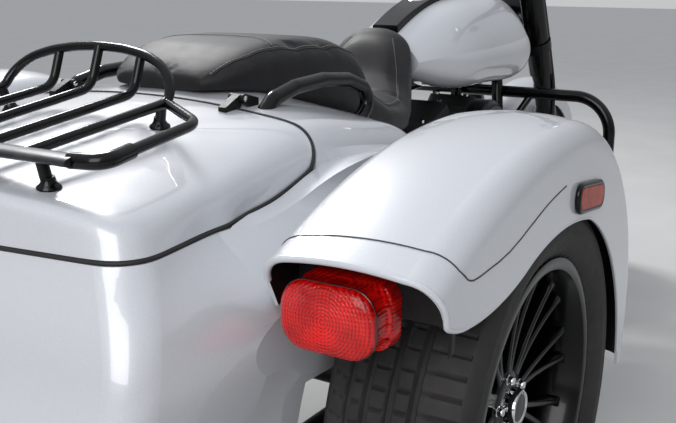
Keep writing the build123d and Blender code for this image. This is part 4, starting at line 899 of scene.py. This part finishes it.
def rounded_ring(width, height, radius, count=10):
    """A rounded rectangle: each corner's middle plus radius * (cos t, sin t), count points to a corner."""
    middles = np.array(((1, 1), (-1, 1), (-1, -1), (1, -1))) * (width / 2 - radius, height / 2 - radius)
    t = np.linspace(0, PI / 2, count) + np.arange(4)[:, None] * PI / 2
    return (middles[:, None] + radius * np.stack([np.cos(t), np.sin(t)], axis=-1)).reshape(-1, 2)


def facing_back(x, s, ring):
    """A flat ring of (aside, up) points set round the lamp's middle at x, on the side s of the vehicle."""
    return np.stack(place(x + 0 * ring[:, 0], s * LENS_Y + ring[:, 0], LENS_Z + ring[:, 1]), axis=-1)


LENS_RINGS = (
    # x, width, height, corner radius
    (-416, 50, 26, 12), (-415.2, 88, 54, 24), (-413, 114, 74, 30), (-409.5, 125, 83, 33),
    (-406, 129.5, 86.5, 34), (-402, 131, 87.5, 34), (-398, 129, 86, 33), (-396.5, 124, 82, 31),
    (-374, 121, 80, 28), (-368, 125, 83, 27), (-364, 131, 87.5, 26), (-342.3, 132, 88, 24))
# Where the moulded bars on the lens's flanks lie, as (x, aside)
BAR = ((-396, 61.5), (-374, 60.2), (-366, 64), (-344, 65.6))
for side_name, s in SIDES:
    table = np.array([facing_back(x, s, rounded_ring(*size)) for x, *size in LENS_RINGS])
    lens = grid(f"tail_lens_{side_name}", table, "chassis", tail_lens, wrap_cols=True, cap_rows=True)
    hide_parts(f"tail_lamp_{side_name}")
    outline = facing_back(-401.5, s, rounded_ring(130.6, 87.2, 34))
    wire(f"tail_lens_{side_name}_outline", outline, 0.0013, "chassis", lens_dark, sides=8, closed=True)
    for k, lift in enumerate((18, -4, -24)):
        bar = [place(x, s * (LENS_Y + aside), LENS_Z + lift) for x, aside in BAR]
        wire(f"tail_lens_{side_name}_bar_{k}", bar, 0.0012, "chassis", tail_lens, sides=8)

# Side markers: a small amber lens of moulded acrylic, clipped into a gloss black bezel on each fender's
# flank. The bezel dips forward with the fender's crown.
dress(lens_amber, "side_markers")
for side_name, s in SIDES:
    forth, over = rounded_ring(118, 38, 16).T
    bezel = np.stack(place(84 + forth, s * 697.5 + 0 * forth, 651 + over - 0.1 * forth), axis=-1)
    wire(f"marker_bezel_{side_name}", bezel, 0.0048, "chassis", black_gloss, sides=10, closed=True)

# Load space and number plate holder: a black needle-felt mat lies loose on the trunk's floor, its pile dull
# and coarse. The blank plate's holder is moulded in satin plastic, and four chrome bolts go through it.
carpet = finish("carpet", ("#1A1A1B", "#28282A", 260.0), (0.85, 0.95, 50.0), (1200.0, 2.0, 0.8, 0.0015),
                {"Sheen Weight": 0.3})
dress(black_satin, "plate_holder")
dress(soft_rubber, "trunk_seal")
MAT_OUTLINE, MAT_HALF_WIDTH = ((-320, 448.2), (-320, 452), (300, 452), (300, 448.2)), 400
plate("trunk_mat", (MAT_OUTLINE,), (0,), MAT_HALF_WIDTH, "chassis", carpet)
studs("plate_bolts", [((-681, y, 425 + z), (-1, 0, 0)) for y in (-73, 73) for z in (-35, 35)],
      ((-4, 2.6), (0, 2.6), (0, 6.5), (3, 6.2), (3.6, 5), (3.8, 0.3)), "chassis", chrome)


# Lid seam: a lip of the trunk's black rubber seal that shows in the gap all round the lid. It is pushed on
# the hull's flange, and runs straight on under the two hinges.
def surface(name):
    """A CAD node's faces in the frame, for rays and nearest places."""
    node = nodes[name]
    return BVHTree.FromPolygons([node.matrix_world @ v.co for v in node.data.vertices],
                                [tuple(polygon.vertices) for polygon in node.data.polygons])


def eased(loop, times):
    """A closed loop of places, each moved times over to the mean of itself and its neighbours."""
    for _ in range(times):
        loop = (np.roll(loop, 1, axis=0) + 2 * loop + np.roll(loop, -1, axis=0)) / 4
    return loop


lid_faces, hull_faces = surface("trunk_lid"), surface("trunk_body")
SEAM_GUIDE = (
    # One side of the seam, from the front's middle round the corner to the rear's middle
    (-122, 0, 779), (-122, 150, 774), (-122, 250, 765), (-122, 294, 758), (-122, 322, 748),
    (-122, 337, 738), (-123, 345, 724), (-125, 349, 708), (-131, 351, 698), (-150, 352, 689),
    (-208, 350, 676), (-260, 350, 669), (-305, 354, 663), (-370, 367, 658), (-430, 379, 654),
    (-490, 389, 652), (-541, 394, 651), (-558, 389, 651), (-572, 368, 651), (-580, 330, 651),
    (-588, 260, 651), (-593, 198, 651), (-597, 100, 651), (-600, 0, 651))
half_seam = sampled(SEAM_GUIDE, 150)
guide = np.vstack([half_seam, (half_seam * (1, -1, 1))[-2:0:-1]])
guide = [point for point in guide if not (point[0] > -140 and 162 < abs(point[1]) < 214)]
hull_middle = Vector(place(-350, 0, 540))
seam = []
for point in guide:
    near = Vector(place(*point))
    for _ in range(8):
        found = (lid_faces.find_nearest(near)[0] + hull_faces.find_nearest(near)[0]) / 2
        outward = (found - hull_middle).normalized()
        near = found + outward * 0.003
    seam.append(found - outward * 0.0008)
wire("lid_seam_lip", eased(np.array(seam), 9), 0.0027, "chassis", soft_rubber, closed=True)

# Lid: one moulded and painted shell, 8 mm thick, with a soft crease where its top turns down to the sides.
# It is the CAD lid's own form, read by rays from a place inside it and evened out, so that its corner runs
# smooth.
LID_WALL = 0.008
lid_middle = np.array(place(-400, 0, 560))
edge = eased(np.array([tuple(lid_faces.find_nearest(v)[0]) for v in seam]), 9) - lid_middle
theta = np.arctan2(edge[:, 1], edge[:, 0])
low = np.arctan2(edge[:, 2], np.hypot(edge[:, 0], edge[:, 1]))
# r(theta, phi): each column starts at the lid's edge and climbs to half a degree off the pole
phi = low + (math.radians(89.5) - low) * np.linspace(0, 1, 72)[:, None]
toward = np.stack([np.cos(phi) * np.cos(theta), np.cos(phi) * np.sin(theta), np.sin(phi)], axis=-1)
reach = np.zeros(phi.shape)
for j, first in enumerate(np.linalg.norm(edge, axis=1)):
    found = [(0, first)]
    for i in range(1, len(phi)):
        hit = lid_faces.ray_cast(Vector(lid_middle + toward[i, j] * 1.2), Vector(-toward[i, j]))[0]
        if hit and not (hit.x > REAR_AXLE_X - 0.165 and 0.172 < abs(hit.y) < 0.204):
            found.append((i, np.linalg.norm(np.array(hit) - lid_middle)))
    reach[:, j] = np.interp(np.arange(len(phi)), *zip(*found))
for _ in range(16):
    sides = np.roll(reach, 1, axis=1) + np.roll(reach, -1, axis=1)
    reach[1:-1] = reach[1:-1] / 2 + (sides[1:-1] + reach[:-2] + reach[2:]) / 8
skins = [lid_middle + (reach - LID_WALL)[::-1, :, None] * toward[::-1],
         lid_middle + reach[:, :, None] * toward]
lid_shell = grid("lid_shell", np.vstack(skins), "lid", body_paint, wrap_cols=True, cap_rows=True)
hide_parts("trunk_lid")

# Hinges and lock: two cast arms in satin black on the lid swing between ears on the hull, on chrome pins.
# The chrome lock is pushed through the lid's rear face.
HINGE_X, HINGE_Y, HINGE_Z = -112, 188, 781
EYE_RADIUS = 7.4


def eye_outline(tail, start, end):
    """A hinge leaf's side view: an arc round the pin from start to end degrees, and a tail."""
    angles = np.radians(np.linspace(start, end, 14))
    return [(HINGE_X + EYE_RADIUS * math.cos(a), HINGE_Z + EYE_RADIUS * math.sin(a)) for a in angles] + tail


EAR = eye_outline([(-118, 774), (-76, 756), (-77, 779.6)], 80, 235)
ARM = eye_outline([(-152.6, 770.6), (-152.6, 752), (-126, 754)], -70, 110)
for side_name, s in SIDES:
    plate(f"hinge_ears_{side_name}", (EAR, EAR), (s * (HINGE_Y - 11), s * (HINGE_Y + 11)), 3.3,
          "chassis", black_satin)
    plate(f"hinge_arm_{side_name}", (ARM,), (s * HINGE_Y,), 7.3, "lid", black_satin)
pins = [((HINGE_X, s * HINGE_Y + k * 14.2, HINGE_Z), (0, k, 0)) for s in (1, -1) for k in (1, -1)]
studs("hinge_pins", pins, ((-1, 4.6), (1.4, 4.6), (2.6, 3.6), (3, 0.3)), "chassis", chrome)
turned("trunk_lock", (-598, 0, 690), (-1, 0, 0.12), ((-14, 13), (6, 13), (8, 11.5), (8.2, 0.3)),
       "lid", chrome, 32)

# Rack and grab rails: bent steel tube, welded and powder coated gloss black. The rack stands on flared feet
# bolted through the lid, and its rear ends are swaged over the stays of a satin grey plated blade.
blade_grey = finish("blade_grey", ("#3A3A3C", "#4A4A4C", 30.0), (0.3, 0.42, 150.0), None, {"Metallic": 0.85})
dress(black_gloss, "luggage_rack", "grab_rails")
dress(blade_grey, "rack_blade")
TUBE, THIN_TUBE, STAND, SOCKET = 0.0075, 0.0072, 0.0078, 0.0103
HOOP = ((-522, 176, 753), (-262, 176, 788), (-251, 173, 805), (-241, 161, 822), (-231, 138, 838),
        (-222, 100, 850), (-217, 50, 857), (-216, 0, 859))
other_half = tuple((x, -y, z) for x, y, z in HOOP[-2::-1])
hoop = wire("rack_hoop", bent(HOOP + other_half, 16), TUBE, "lid", black_gloss, sides=20)
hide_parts("luggage_rack")
# Each bar's side, where it bends up, and the height at which it meets the hoop
for k, (y, x, z, top) in enumerate(((-88, -238, 793, 852), (0, -240, 796, 859), (88, -238, 793, 852))):
    bar = bent(((-520, y, 753), (x, y, z), (-218, y, top)), 22)
    wire(f"rack_bar_{k}", bar, THIN_TUBE, "lid", black_gloss, sides=20)
feet = []
for side_name, s in SIDES:
    rail = bent(((-262, s * 174, 788), (-325, s * 284, 775), (-506, s * 308, 757)), 26)
    wire(f"rack_rail_{side_name}", rail, TUBE, "lid", black_gloss, sides=20)
    socket = bent(((-470, s * 303.5, 760.5), (-522, s * 311, 755), (-528, s * 262, 753.6)), 28)
    wire(f"rack_socket_{side_name}", socket, SOCKET, "lid", black_gloss, sides=24)
    for end, foot, head in (("front", (-263, s * 161), (-270, s * 172, 787)),
                            ("rear", (-526, s * 221), (-530, s * 214, 752))):
        hit, normal, _, _ = lid_faces.ray_cast(Vector(place(*foot, 1000)), Vector((0, 0, -1)))
        seat = ((hit.x - REAR_AXLE_X) * 1000, hit.y * 1000, hit.z * 1000)
        feet.append((seat, tuple(normal)))
        wire(f"rack_stand_{side_name}_{end}", bent((seat, head), 1), STAND, "lid", black_gloss, sides=20)
studs("rack_feet", feet, ((-3, 14), (1, 15.5), (3, 15), (6, 11.5), (10, 9.2), (16, 8.2), (16, 0.3)), "lid",
      black_gloss, 28)
